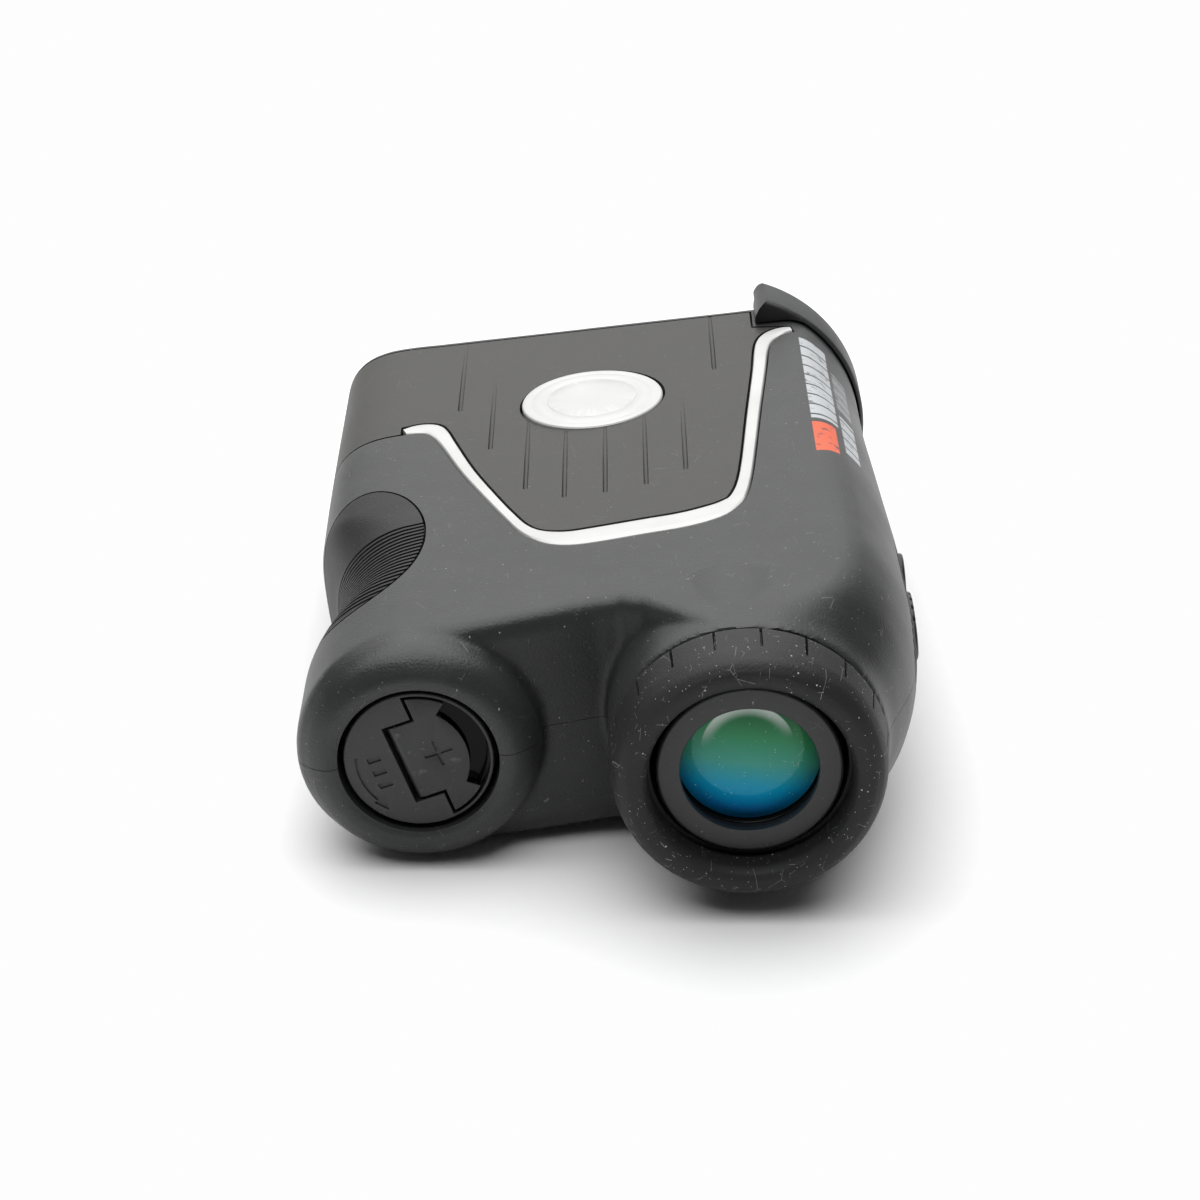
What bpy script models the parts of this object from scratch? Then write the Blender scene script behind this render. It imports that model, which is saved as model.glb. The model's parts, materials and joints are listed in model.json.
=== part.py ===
"""Handheld laser rangefinder, lying on its side as it is put down on a table.

Every piece is modelled in the device's own frame: X towards the device's top, Y forward along the
optical axis from the eyecup's seam, Z out of the side that faces up, with the mid-plane at Z = 0.
The empty called device_frame rolls that frame by REST_ROLL, so the body stands on the front hood
and on the edge of its underside, and puts the middle of the footprint at the origin.
"""
import bpy
import bmesh
import math
from mathutils import Matrix, Vector

MM = 0.001

# ---- driving dimensions, metres -------------------------------------------------------------
REST_ROLL = math.radians(5.77)       # the top of the device lies higher than its underside
FRAME_SHIFT = (0.0175035, -0.0516, 0.0210611)
BODY_LENGTH = 110 * MM               # eyecup seam to front face
HALF_THICKNESS = 17.2 * MM           # mid-plane to side face, on the optical axis
SIDE_SLOPE = 0.0195                  # the sides come together towards the underside
LOBE_X = -43 * MM                    # battery axis, beside the optical axis
LOBE_R = 16.3 * MM
WALL = 2.0 * MM
GAP = 0.3 * MM                       # air between pieces that touch
SKIN = 1.2 * MM                      # thickness of the set-in panels and rubber
HALF_SPLIT = 0.15 * MM

# tables of (distance from the seam, value), millimetres
TOP_RADIUS = [(0, 18.15), (3, 18.8), (7, 20.4), (12, 22.2), (18, 23.4), (26, 24.0), (40, 23.9),
              (68, 22.9), (90, 22.1), (110, 22.0)]
THICKNESS_GAIN = [(0, 1.1), (6, 0.7), (14, 0.0), (110, 0.0)]
CORNER_POWER = [(0, 2.0), (20, 2.0), (75, 3.3), (110, 3.6)]
EDGE_ROUND = [(0, 3.0), (0.9, 1.3), (2.2, 0.4), (4, 0.0), (108.4, 0.0), (109.4, 0.45), (110, 1.2)]
STATIONS = [0, 0.9, 2.2, 4, 8, 14, 20, 27, 34, 41, 48, 56, 68, 90, 108.4, 109.4, 110]

GRIP_CENTRE = (-52.5 * MM, 38.5 * MM)
GRIP_RADII = (10.5 * MM, 17.5 * MM)
GRIP_DEPTH = 3.6 * MM

# middle line of the silver trim with its width: (x, y, width), millimetres
TRIM_LINE = [(-46.8, 75.2, 2.0), (-44.8, 75.8, 3.0), (-42.7, 75.2, 3.2), (-41.3, 72.9, 2.6),
             (-39.9, 68.9, 2.1), (-36.5, 58.1, 1.8), (-32.2, 46.9, 1.55), (-30.1, 41.8, 1.55),
             (-28.4, 38.0, 1.7), (-26.6, 35.4, 2.3), (-24.2, 33.6, 3.6), (-21.5, 32.8, 4.4),
             (-18.0, 33.0, 4.7), (-11.7, 33.9, 4.7), (-6.0, 34.7, 4.7), (-1.9, 36.2, 4.4),
             (0.4, 38.1, 3.2), (1.8, 40.6, 2.2), (3.2, 48.3, 1.8), (5.2, 69.0, 1.9),
             (6.7, 84.0, 2.0), (7.3, 91.0, 2.15), (7.9, 94.6, 2.4), (9.0, 97.0, 2.8),
             (10.6, 98.4, 2.6), (12.4, 98.9, 1.6)]
PANEL_FRONT = 107.5 * MM
PANEL_LOW = -62.0 * MM               # past the underside, so that the panel wraps round it
PANEL_TOP = 6.3 * MM
PANEL_REAR = 74.3 * MM
TRIM_END_X = -47.4 * MM              # where the panel passes the lower end of the trim
BADGE_CENTRE = (-18.6 * MM, 79.5 * MM)
BADGE_R = 10.6 * MM

BODY_BORE_R = 14.8 * MM

CAP_R = 9.9 * MM
CAP_FACE_Y = 5.0 * MM
BAY_MOUTH_R = 10.65 * MM
CAP_TURN = math.radians(-15.1)       # how far the split line is turned from the device's Z
CHORD_X = 1.6 * MM
TONGUE_X = -2.4 * MM
TONGUE_HALF = 5.5 * MM
TAB_THICK = 2.2 * MM
TAB_AXIS_X = TONGUE_X + TAB_THICK / 2
TAB_AXIS_Y = CAP_FACE_Y + TAB_THICK / 2
PIN_R = 0.4 * MM
PIN_HOLE_R = 0.65 * MM


HOOD_R = 22.9 * MM
HOOD_BACK = 102 * MM
HOOD_FRONT = 112 * MM
HOOD_SIDE_X = 7 * MM
HOOD_EDGE = 2.6 * MM                 # rounding of the hood's front edge
EMITTER_X = -37 * MM

POWER_Y = 30 * MM
MODE_Y = 45 * MM

SCREWS = [(-52.5, 66), (-24.0, 26), (15.5, 27), (-23.3, 92)]

ROUND = 32
SMALL_ROUND = 16
ARC_STEPS = 6                        # points along each quarter of the body's section


# ---- scene and helpers ----------------------------------------------------------------------
for old in list(bpy.data.objects):
    bpy.data.objects.remove(old, do_unlink=True)

device = bpy.data.objects.new("device_frame", None)
bpy.context.scene.collection.objects.link(device)
device.location = FRAME_SHIFT
device.rotation_euler = (0, -REST_ROLL, 0)

finishes = {}


def finish(name, colour, roughness, metallic=0.0):
    """One Principled material for a kind of part."""
    material = bpy.data.materials.new(name)
    material.use_nodes = True
    shader = material.node_tree.nodes["Principled BSDF"]
    shader.inputs["Base Color"].default_value = (*colour, 1)
    shader.inputs["Roughness"].default_value = roughness
    shader.inputs["Metallic"].default_value = metallic
    finishes[name] = material


def add(name, mesh_builder, where=(0, 0, 0), look=None, cutter=False):
    """Makes an object under the device frame from a filled bmesh."""
    mesh = bpy.data.meshes.new(name)
    bmesh.ops.recalc_face_normals(mesh_builder, faces=mesh_builder.faces)
    mesh_builder.to_mesh(mesh)
    mesh_builder.free()
    piece = bpy.data.objects.new(name, mesh)
    bpy.context.scene.collection.objects.link(piece)
    piece.parent = device
    piece.location = where
    if cutter:
        piece.hide_render = True
        piece.display_type = "WIRE"
    else:
        mesh.materials.append(finishes[look])
        mesh.shade_smooth()
        mesh.set_sharp_from_angle(angle=math.radians(35))
    return piece


def combine(piece, other, operation):
    """Cuts, joins or keeps the shared part. The shells have steps that the exact solver leaves open."""
    step = piece.modifiers.new(operation.lower() + "_" + other.name, "BOOLEAN")
    step.operation = operation
    step.solver = "MANIFOLD" if piece.name.endswith("_shell") else "EXACT"
    step.object = other
    return piece


def cut(piece, *cutters):
    for cutter in cutters:
        combine(piece, cutter, "DIFFERENCE")
    return piece


def keep_inside(piece, other):
    return combine(piece, other, "INTERSECT")


def loft(rings, ladder_ends=False):
    """Closed solid through rings with the same number of points.

    Ladder ends join each point of a ring to its mirror image, for end faces that aren't flat.
    """
    shape = bmesh.new()
    rows = [[shape.verts.new(point) for point in ring] for ring in rings]
    count = len(rows[0])
    for near, far in zip(rows, rows[1:]):
        for i in range(count):
            j = (i + 1) % count
            shape.faces.new((near[i], near[j], far[j], far[i]))
    if not ladder_ends:
        shape.faces.new(rows[0][::-1])
        shape.faces.new(rows[-1])
        return shape
    for row in (rows[0], rows[-1]):
        for i in range(count // 2):
            corners = []
            for corner in (row[i], row[i + 1], row[count - i - 1], row[-i]):
                if corner not in corners:
                    corners.append(corner)
            shape.faces.new(corners)
    return shape


def prism(outline, low, high):
    """Solid between two heights along Z over an outline in X and Y."""
    return loft([[(x, y, z) for x, y in outline] for z in (low, high)])


def turned(profile, steps=ROUND, axis_x=0.0):
    """Solid turned about a line along Y. The profile is a closed outline of (radius, y)."""
    shape = bmesh.new()
    columns = []
    for radius, y in profile:
        if radius == 0:
            columns.append([shape.verts.new((axis_x, y, 0))] * steps)
            continue
        ring = []
        for i in range(steps):
            angle = 2 * math.pi * (i + 0.5) / steps
            ring.append(shape.verts.new((axis_x + radius * math.cos(angle), y, radius * math.sin(angle))))
        columns.append(ring)
    for near, far in zip(columns, columns[1:] + columns[:1]):
        for i in range(steps):
            j = (i + 1) % steps
            corners = []
            for corner in (near[i], near[j], far[j], far[i]):
                if corner not in corners:
                    corners.append(corner)
            if len(corners) > 2:
                shape.faces.new(corners)
    return shape


def tube(outer, inner, low, high):
    return [(outer, low), (outer, high), (inner, high), (inner, low)]


def rod(radius, low, high):
    return [(0, low), (radius, low), (radius, high), (0, high)]


def box(low, high):
    x0, y0, z0 = low
    x1, y1, z1 = high
    return prism([(x0, y0), (x1, y0), (x1, y1), (x0, y1)], z0, z1)


def oval(centre, radii, steps=ROUND, grow=0.0):
    points = []
    for i in range(steps):
        angle = 2 * math.pi * (i + 0.5) / steps
        points.append((centre[0] + (radii[0] + grow) * math.cos(angle),
                       centre[1] + (radii[1] + grow) * math.sin(angle)))
    return points


def upright(x, y, radius, low, high, steps=SMALL_ROUND):
    """Cylinder along Z."""
    return prism(oval((x, y), (radius, radius), steps), low, high)


def along_x(y, radii, low, high, steps=24):
    """Oval bar along X, centred on Z = 0."""
    rings = []
    for x in (low, high):
        rings.append([(x, py, pz) for py, pz in oval((y, 0), radii, steps)])
    return loft(rings)


def table(values, distance):
    """Reads a table of (distance, value) in millimetres and answers in metres."""
    d = distance / MM
    for (d0, v0), (d1, v1) in zip(values, values[1:]):
        if d <= d1:
            return (v0 + (v1 - v0) * max(0.0, (d - d0) / (d1 - d0))) * MM
    return values[-1][1] * MM


def soft_min(a, b, blend=1.6 * MM):
    mix = min(1.0, max(0.0, 0.5 + 0.5 * (b - a) / blend))
    return b + (a - b) * mix - blend * mix * (1 - mix)


# ---- the body's outer form ------------------------------------------------------------------
def side_height(station, x):
    near_tube = min(1.0, max(0.0, 1 + x / (17.5 * MM)))
    return HALF_THICKNESS + SIDE_SLOPE * x + table(THICKNESS_GAIN, station) * near_tube


def rear_set_back(x):
    """How far forward of the eyecup seam the body starts: the web and the lobe are set back."""
    slanted = 7.9 * MM + 0.181 * (x - LOBE_X)
    fade = min(1.0, max(0.0, -x / (17.5 * MM)))
    return slanted * fade * fade * (3 - 2 * fade)


def edge_round(station, x):
    """Rounding of the body's rear and front edges, none where the eyepiece tube leaves."""
    amount = table(EDGE_ROUND, station)
    if station < BODY_LENGTH / 2:
        amount *= min(1.0, max(0.0, -x / (17.5 * MM)))
    return amount


def half_section(station, inset):
    """Points from the device's top edge over the upper side to the underside edge."""
    points = []
    radius = table(TOP_RADIUS, station)
    for i in range(ARC_STEPS + 1):
        angle = math.radians(90) * i / ARC_STEPS
        x = radius * math.cos(angle)
        z = soft_min(radius * math.sin(angle), side_height(station, x))
        shrink = 1 - (inset + edge_round(station, x)) / radius
        points.append((x * shrink,
                       z * shrink if 2 * i <= ARC_STEPS else z - inset - edge_round(station, x), x))
    for i in range(1, 4):
        x = LOBE_X * i / 4
        points.append((x, side_height(station, x) - inset - edge_round(station, x), x))
    power = table(CORNER_POWER, station) / MM
    height = side_height(station, LOBE_X)
    for i in range(ARC_STEPS + 1):
        angle = math.radians(90) * i / ARC_STEPS
        less = inset + edge_round(station, LOBE_X)
        x = LOBE_X - (LOBE_R - less) * math.sin(angle) ** (2 / power)
        z = (height - less) * max(0.0, math.cos(angle)) ** (2 / power)
        across = 1 - i / ARC_STEPS
        along = (station + rear_set_back(x) * 0.3 - GRIP_CENTRE[1]) / (GRIP_RADII[1] * 1.05)
        reach = max(0.0, 1 - across * across - along * along)
        push = GRIP_DEPTH * reach ** 1.5
        points.append((x + push * math.sin(angle), z - push * math.cos(angle), x))
    return points


def body_form(name, inset=0.0, start=0.0, end=BODY_LENGTH):
    """The whole outer form, drawn in by inset, as a cutter or as the start of a shell."""
    stations = [start] + [s * MM for s in STATIONS if start < s * MM < end] + [end]
    rings = []
    for station in stations:
        rear = max(0.0, 1 - station / (30 * MM))
        ring = [(x, station + rear_set_back(x0) * rear, z) for x, z, x0 in half_section(station, inset)]
        mirrored = [(x, y, -z) for x, y, z in ring[-2:0:-1]]
        rings.append(ring + mirrored)
    return add(name, loft(rings, ladder_ends=True), cutter=True)


def beside_trim(side, gap, extend=0.0):
    """The line beside the trim, gap away from its edge and mitred; side is 1 for the panel's side."""
    points = [Vector((x * MM, y * MM)) for x, y, _ in TRIM_LINE]
    points[0] += (points[0] - points[1]).normalized() * extend
    points[-1] += (points[-1] - points[-2]).normalized() * extend
    result = []
    for i, point in enumerate(points):
        into = (point - points[i - 1]).normalized() if i else (points[1] - point).normalized()
        out = (points[i + 1] - point).normalized() if i + 1 < len(points) else into
        along = (into + out).normalized()
        reach = side * (TRIM_LINE[i][2] * MM / 2 + gap) / max(0.6, along.dot(into))
        result.append((point.x - along.y * reach, point.y + along.x * reach))
    return result


finish("rubber_armour", (0.060, 0.060, 0.060), 0.62)
finish("soft_rubber", (0.030, 0.030, 0.031), 0.55)
finish("panel_plastic", (0.090, 0.086, 0.080), 0.50)
finish("satin_silver", (0.72, 0.72, 0.72), 0.28, 0.9)
finish("black_plastic", (0.035, 0.035, 0.037), 0.38)
finish("lens_glass", (0.10, 0.42, 0.42), 0.05)
finish("black_metal", (0.030, 0.030, 0.030), 0.35, 0.6)
finish("steel", (0.55, 0.55, 0.56), 0.30, 1.0)
finish("gold_plate", (0.80, 0.60, 0.25), 0.30, 1.0)
finish("circuit_board", (0.03, 0.16, 0.07), 0.50)
finish("battery_wrap", (0.09, 0.10, 0.13), 0.40)

# ---- shells ---------------------------------------------------------------------------------
recess_outline = beside_trim(-1, GAP, GAP) + [beside_trim(1, GAP, GAP)[-1]]
recess_outline += [(PANEL_TOP + GAP, 101.4 * MM), (PANEL_TOP + GAP, PANEL_FRONT + GAP),
                   (PANEL_LOW - GAP, PANEL_FRONT + GAP), (PANEL_LOW - GAP, PANEL_REAR - GAP)]
trim_outline = beside_trim(-1, 0.0) + beside_trim(1, 0.0)[::-1]
panel_outline = [(PANEL_LOW, PANEL_REAR), (TRIM_END_X, PANEL_REAR), (TRIM_END_X, 76.9 * MM)]
panel_outline += beside_trim(1, GAP)[1:-1]
panel_outline += [(PANEL_TOP, 101 * MM), (PANEL_TOP, PANEL_FRONT), (PANEL_LOW, PANEL_FRONT)]

outer_form = body_form("outer_form")
pocket_form = body_form("pocket_form", SKIN + GAP)
skin_form = body_form("skin_form", SKIN)
proud_form = body_form("proud_form", -0.1 * MM)
hood_clear_form = body_form("hood_clear_form", -GAP)
cavity = body_form("cavity", WALL, 4.5 * MM, 106.3 * MM)
bezel_pocket = body_form("bezel_pocket", 1.7 * MM, 104 * MM, 108.3 * MM)
bezel_pocket.location = (0, 3.8 * MM, 0)

tube_end = add("tube_end", turned(rod(18.0 * MM, 0.05 * MM, 18 * MM)), cutter=True)
trim_flat = add("trim_flat", box((-30 * MM, -1 * MM, -18.0 * MM), (30 * MM, 30 * MM, 18.0 * MM)),
                cutter=True)
keep_inside(tube_end, trim_flat)
donut_profile = [(0, 12 * MM), (0, 4.4 * MM), (11.1 * MM, 4.4 * MM), (11.3 * MM, 4.0 * MM),
                 (12.2 * MM, 4.0 * MM), (13.8 * MM, 4.8 * MM), (15.3 * MM, 6.3 * MM),
                 (16.1 * MM, 8.6 * MM), (16.3 * MM, 12 * MM)]
donut = add("donut", turned(donut_profile, axis_x=LOBE_X), cutter=True)
bay_mouth = add("bay_mouth", turned(rod(BAY_MOUTH_R, 1 * MM, 18 * MM), axis_x=LOBE_X), cutter=True)
eyepiece_bore = add("eyepiece_bore", turned(rod(BODY_BORE_R, -2 * MM, 20 * MM)), cutter=True)
objective_bore = add("objective_bore", turned(rod(14.6 * MM, 100 * MM, 115 * MM)), cutter=True)
emitter_bore = add("emitter_bore", turned(rod(8.3 * MM, 100 * MM, 115 * MM), axis_x=EMITTER_X), cutter=True)
hood_profile = [(0, HOOD_BACK), (HOOD_R - 0.8 * MM, HOOD_BACK), (HOOD_R, HOOD_BACK + 0.8 * MM)]
for i in range(5):
    angle = math.radians(90) * i / 4
    hood_profile.append((HOOD_R - HOOD_EDGE * (1 - math.cos(angle)),
                         HOOD_FRONT - HOOD_EDGE * (1 - math.sin(angle))))
hood_profile.append((0, HOOD_FRONT))
hood_cylinder = turned(hood_profile, steps=48)
hood_seat = add("hood_seat", box((HOOD_SIDE_X - GAP, HOOD_BACK - GAP, -30 * MM),
                                 (30 * MM, 115 * MM, 30 * MM)), cutter=True)
badge_hole_outline = oval(BADGE_CENTRE, (BADGE_R, BADGE_R), 28, 0.4 * MM)
grip_pocket = add("grip_pocket", prism(oval(GRIP_CENTRE, GRIP_RADII, 28, GAP), -25 * MM, 25 * MM),
                  cutter=True)
cut(grip_pocket, pocket_form)
pad_outline_radii = (21 * MM, 6.2 * MM)
pad_centre_y = 37 * MM
pad_pocket = add("pad_pocket",
                 along_x(pad_centre_y, (pad_outline_radii[0] + GAP, pad_outline_radii[1] + GAP),
                                       15 * MM, 27 * MM), cutter=True)
cut(pad_pocket, pocket_form)
button_wells = []
for button, y, radii in (("power", POWER_Y, (6.5 * MM, 4.2 * MM)), ("mode", MODE_Y, (3.4 * MM, 3.4 * MM))):
    well = add(button + "_well", along_x(y, (radii[0] + GAP, radii[1] + GAP), 15 * MM, 28 * MM),
               cutter=True)
    button_wells.append(well)

for side, sign in (("left", 1), ("right", -1)):
    low, high = sorted((sign * HALF_SPLIT, sign * 30 * MM))
    half_space = add(side + "_half_space", box((-80 * MM, -20 * MM, low), (40 * MM, 130 * MM, high)),
                     cutter=True)
    shell = body_form(side + "_body_shell")
    shell.hide_render = False
    shell.display_type = "TEXTURED"
    shell.data.materials.append(finishes["rubber_armour"])
    combine(shell, tube_end, "UNION")
    combine(shell, donut, "UNION")
    keep_inside(shell, half_space)
    cut(shell, bay_mouth, eyepiece_bore, bezel_pocket, objective_bore, emitter_bore, cavity)
    low, high = sorted((-sign * 1 * MM, sign * 25 * MM))
    recess = add(side + "_panel_recess", prism(recess_outline, low, high), cutter=True)
    cut(recess, pocket_form)
    cut(shell, recess, grip_pocket, pad_pocket, *button_wells)
    for number, (x, y) in enumerate(SCREWS, 1):
        x, y = x * MM, y * MM
        reach = side_height(BODY_LENGTH / 2, x) - 1.0 * MM
        low, high = sorted((sign * HALF_SPLIT, sign * (reach - 0.9 * MM)))
        boss = add(f"{side}_boss_{number}", upright(x, y, 2.4 * MM, low, high, 12), cutter=True)
        combine(shell, boss, "UNION")
        if side == "left":
            hole = add(f"pilot_{number}", upright(x, y, 1.2 * MM, -1 * MM, 7 * MM, 10), cutter=True)
            cut(shell, hole)
        else:
            hole = add(f"shank_hole_{number}", upright(x, y, 1.3 * MM, -25 * MM, 1 * MM, 10), cutter=True)
            sink = add(f"head_hole_{number}", upright(x, y, 2.1 * MM, -25 * MM, -13.4 * MM, 14),
                       cutter=True)
            cut(shell, hole, sink)

    low, high = sorted((sign * HALF_SPLIT, sign * 25 * MM))
    panel = add(side + "_side_panel", prism(panel_outline, low, high), look="panel_plastic")
    keep_inside(panel, outer_form)
    badge_hole = add(side + "_badge_hole", prism(badge_hole_outline, low, high), cutter=True)
    cut(panel, skin_form, badge_hole)
    trim = add(side + "_trim", prism(trim_outline, low, high), look="satin_silver")
    keep_inside(trim, proud_form)
    cut(trim, skin_form)
    base = side_height(BODY_LENGTH / 2, BADGE_CENTRE[0])
    dome = [(0, base - SKIN), (BADGE_R, base - SKIN), (BADGE_R, base + 0.05 * MM),
            (BADGE_R - 0.5 * MM, base + 0.3 * MM), (BADGE_R * 0.6, base + 0.5 * MM), (0, base + 0.6 * MM)]
    badge = turned(dome, steps=28)
    turn = Matrix.Rotation(math.radians(90), 4, "X")
    if side == "right":
        turn = Matrix.Rotation(math.radians(-90), 4, "X")
    bmesh.ops.transform(badge, matrix=turn, verts=badge.verts)
    add(side + "_badge", badge, (*BADGE_CENTRE, 0), "satin_silver")

for number, (x, y) in enumerate(SCREWS, 1):
    x, y = x * MM, y * MM
    rings = []
    for radius, z in ((1.7, -15.0), (1.75, -14.8), (1.75, -13.8), (0.9, -13.7), (0.9, 5.6), (0.4, 6.4)):
        rings.append([(px, py, z * MM) for px, py in oval((x, y), (radius * MM, radius * MM), 12)])
    screw = add(f"housing_screw_{number}", loft(rings), look="steel")
    socket = add(f"screw_socket_{number}", upright(x, y, 0.8 * MM, -16 * MM, -14.3 * MM, 6), cutter=True)
    cut(screw, socket)

grip = add("finger_grip", prism(oval(GRIP_CENTRE, GRIP_RADII, 28), -25 * MM, 25 * MM), look="soft_rubber")
keep_inside(grip, outer_form)
cut(grip, skin_form)

pad = add("top_pad", along_x(pad_centre_y, pad_outline_radii, 15 * MM, 27 * MM), look="soft_rubber")
keep_inside(pad, proud_form)
cut(pad, skin_form, *button_wells)

for button, y, radii, ribs in (("power", POWER_Y, (6.5 * MM, 4.2 * MM), 5),
                               ("mode", MODE_Y, (3.4 * MM, 3.4 * MM), 0)):
    rings = []
    for x, grow in ((19.4, 0.0), (23.9, 0.0), (24.2, -0.4)):
        rings.append([(x * MM - 24 * MM, py, pz) for py, pz in oval((0, 0), radii, 24, grow * MM)])
    key = add(button + "_button", loft(rings), (24 * MM, y, 0), "black_plastic")
    for i in range(ribs):
        offset = (i - (ribs - 1) / 2) * 2.0 * MM
        groove = add(f"power_groove_{i}", box((23.8 * MM, y + offset - 0.4 * MM, -6 * MM),
                                              (26 * MM, y + offset + 0.4 * MM, 6 * MM)), cutter=True)
        cut(key, groove)

hood = add("front_hood", hood_cylinder, look="rubber_armour")
hood_keep = add("hood_keep", box((HOOD_SIDE_X, HOOD_BACK, -30 * MM), (30 * MM, HOOD_FRONT, 30 * MM)),
                cutter=True)
keep_inside(hood, hood_keep)
hood_bore = add("hood_bore", turned(rod(20.2 * MM, 109 * MM, 115 * MM)), cutter=True)
cut(hood, hood_clear_form, hood_bore)

bezel_room = body_form("bezel_room", 2.0 * MM, 60 * MM, 108 * MM)
bezel_room.location = (0, 10 * MM, 0)
bezel = add("front_bezel", box((-70 * MM, 108.1 * MM, -20 * MM), (30 * MM, 109.7 * MM, 20 * MM)),
            look="black_plastic")
keep_inside(bezel, bezel_room)
bezel_hole = add("bezel_hole", turned(rod(13.2 * MM, 100 * MM, 115 * MM)), cutter=True)
emitter_hole = add("emitter_hole", turned(rod(7.9 * MM, 100 * MM, 115 * MM), axis_x=EMITTER_X), cutter=True)
cut(bezel, bezel_hole, emitter_hole)

# ---- eyepiece -------------------------------------------------------------------------------
eyecup_profile = [(18.15, -0.3), (14.5, -0.3), (14.5, -4.2), (13.1, -4.2), (13.1, -7.4), (13.6, -8.4),
                  (14.6, -8.8), (15.8, -8.7), (17.0, -7.6), (17.6, -5.8), (17.9, -3.0)]
add("eyecup", turned([(r * MM, y * MM) for r, y in eyecup_profile]), look="soft_rubber")
add("dioptre_ring", turned(tube(14.2 * MM, 12.7 * MM, -3.9 * MM, 9 * MM)), look="black_plastic")
lens_bezel_profile = [(8.9, -5.3), (11.7, -5.3), (12.0, -5.0), (12.0, -2.3), (9.6, -2.3), (9.6, -3.6),
                      (8.9, -4.4)]
add("lens_bezel", turned([(r * MM, y * MM) for r, y in lens_bezel_profile]), look="black_plastic")
lens_profile = [(0, -2.9), (4.5, -2.7), (7.6, -2.1), (9.3, -1.4), (9.3, 1.4), (0, 1.4)]
add("eye_lens", turned([(r * MM, y * MM) for r, y in lens_profile]), look="lens_glass")
barrel_profile = [(12.0, -2.0), (12.0, 22.0), (8.6, 22.0), (8.6, 1.7), (9.6, 1.7), (9.6, -2.0)]
add("eyepiece_barrel", turned([(r * MM, y * MM) for r, y in barrel_profile]), look="black_metal")
field_profile = [(0, 13.2), (5, 13.5), (8.3, 14.4), (8.3, 17.2), (5, 18.2), (0, 18.6)]
add("field_lens", turned([(r * MM, y * MM) for r, y in field_profile], 24), look="lens_glass")

# ---- battery bay ----------------------------------------------------------------------------
cap_turn_matrix = Matrix.Rotation(CAP_TURN, 4, "Y")


def cap_piece(name, shape, look=None, cutter=False):
    """A piece of the cap, modelled on the cap's own axis and turned with its split line."""
    bmesh.ops.transform(shape, matrix=cap_turn_matrix, verts=shape.verts)
    return add(name, shape, (LOBE_X, 0, 0), look, cutter)


def cap_slab(outline, low, high):
    """Slab between two Y values over an outline in the cap's own X and Z."""
    return loft([[(x, y, z) for x, z in outline] for y in (low, high)])


def tab_outline(grow):
    """Chord, tongue and rim of the folding tab; grow widens it into its pocket."""
    rim = CAP_R - 0.9 * MM + grow
    chord = CHORD_X - grow
    half = TONGUE_HALF + grow
    end = TONGUE_X - grow
    start = math.acos(chord / rim)
    points = [(rim * math.cos(start - 2 * start * i / 20), rim * math.sin(start - 2 * start * i / 20))
              for i in range(21)]
    return points + [(chord, -half), (end, -half), (end, half), (chord, half)]


cap_profile = [(0, 5.0), (9.6, 5.0), (9.9, 5.3), (9.9, 9.6), (0, 9.6)]
cap = cap_piece("battery_cap", turned([(r * MM, y * MM) for r, y in cap_profile]), "black_plastic")
pocket = cap_piece("tab_pocket", cap_slab(tab_outline(GAP), 4 * MM, CAP_FACE_Y + TAB_THICK + GAP),
                   cutter=True)
pin_hole = cap_piece("pin_hole", upright(TAB_AXIS_X, TAB_AXIS_Y, PIN_HOLE_R, -6.9 * MM, 6.9 * MM, 16),
                     cutter=True)
seal_groove_profile = [(9.0, 7.6), (9.0, 9.0), (11, 9.0), (11, 7.6)]
seal_groove = cap_piece("seal_groove", turned([(r * MM, y * MM) for r, y in seal_groove_profile]),
                        cutter=True)
cut(cap, pocket, pin_hole, seal_groove)

tab = cap_piece("cap_tab", cap_slab(tab_outline(0), CAP_FACE_Y, CAP_FACE_Y + TAB_THICK), "black_plastic")
knuckle_corner = []
for i in range(9):
    angle = math.radians(90 + 180 * i / 8)
    knuckle_corner.append((TAB_AXIS_X + TAB_THICK / 2 * math.cos(angle),
                           TAB_AXIS_Y + TAB_THICK / 2 * math.sin(angle)))
knuckle_corner += [(12 * MM, TAB_AXIS_Y - TAB_THICK / 2), (12 * MM, TAB_AXIS_Y + TAB_THICK / 2)]
round_end = cap_piece("round_end", prism(knuckle_corner, -12 * MM, 12 * MM), cutter=True)
keep_inside(tab, round_end)
nail_rim = []
for i in range(13):
    angle = math.radians(-46 + 92 * i / 12)
    nail_rim.append((10.5 * MM * math.cos(angle), 10.5 * MM * math.sin(angle)))
for i in range(13):
    angle = math.radians(39 - 78 * i / 12)
    nail_rim.append((-1.0 * MM + 8.1 * MM * math.cos(angle), 8.1 * MM * math.sin(angle)))
nail_recess = cap_piece("nail_recess", cap_slab(nail_rim, 4 * MM, CAP_FACE_Y + 1.3 * MM), cutter=True)
cut(tab, pin_hole, nail_recess)
cap_piece("tab_pin", upright(TAB_AXIS_X, TAB_AXIS_Y, PIN_R, -6.7 * MM, 6.7 * MM, 12), "steel")

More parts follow.
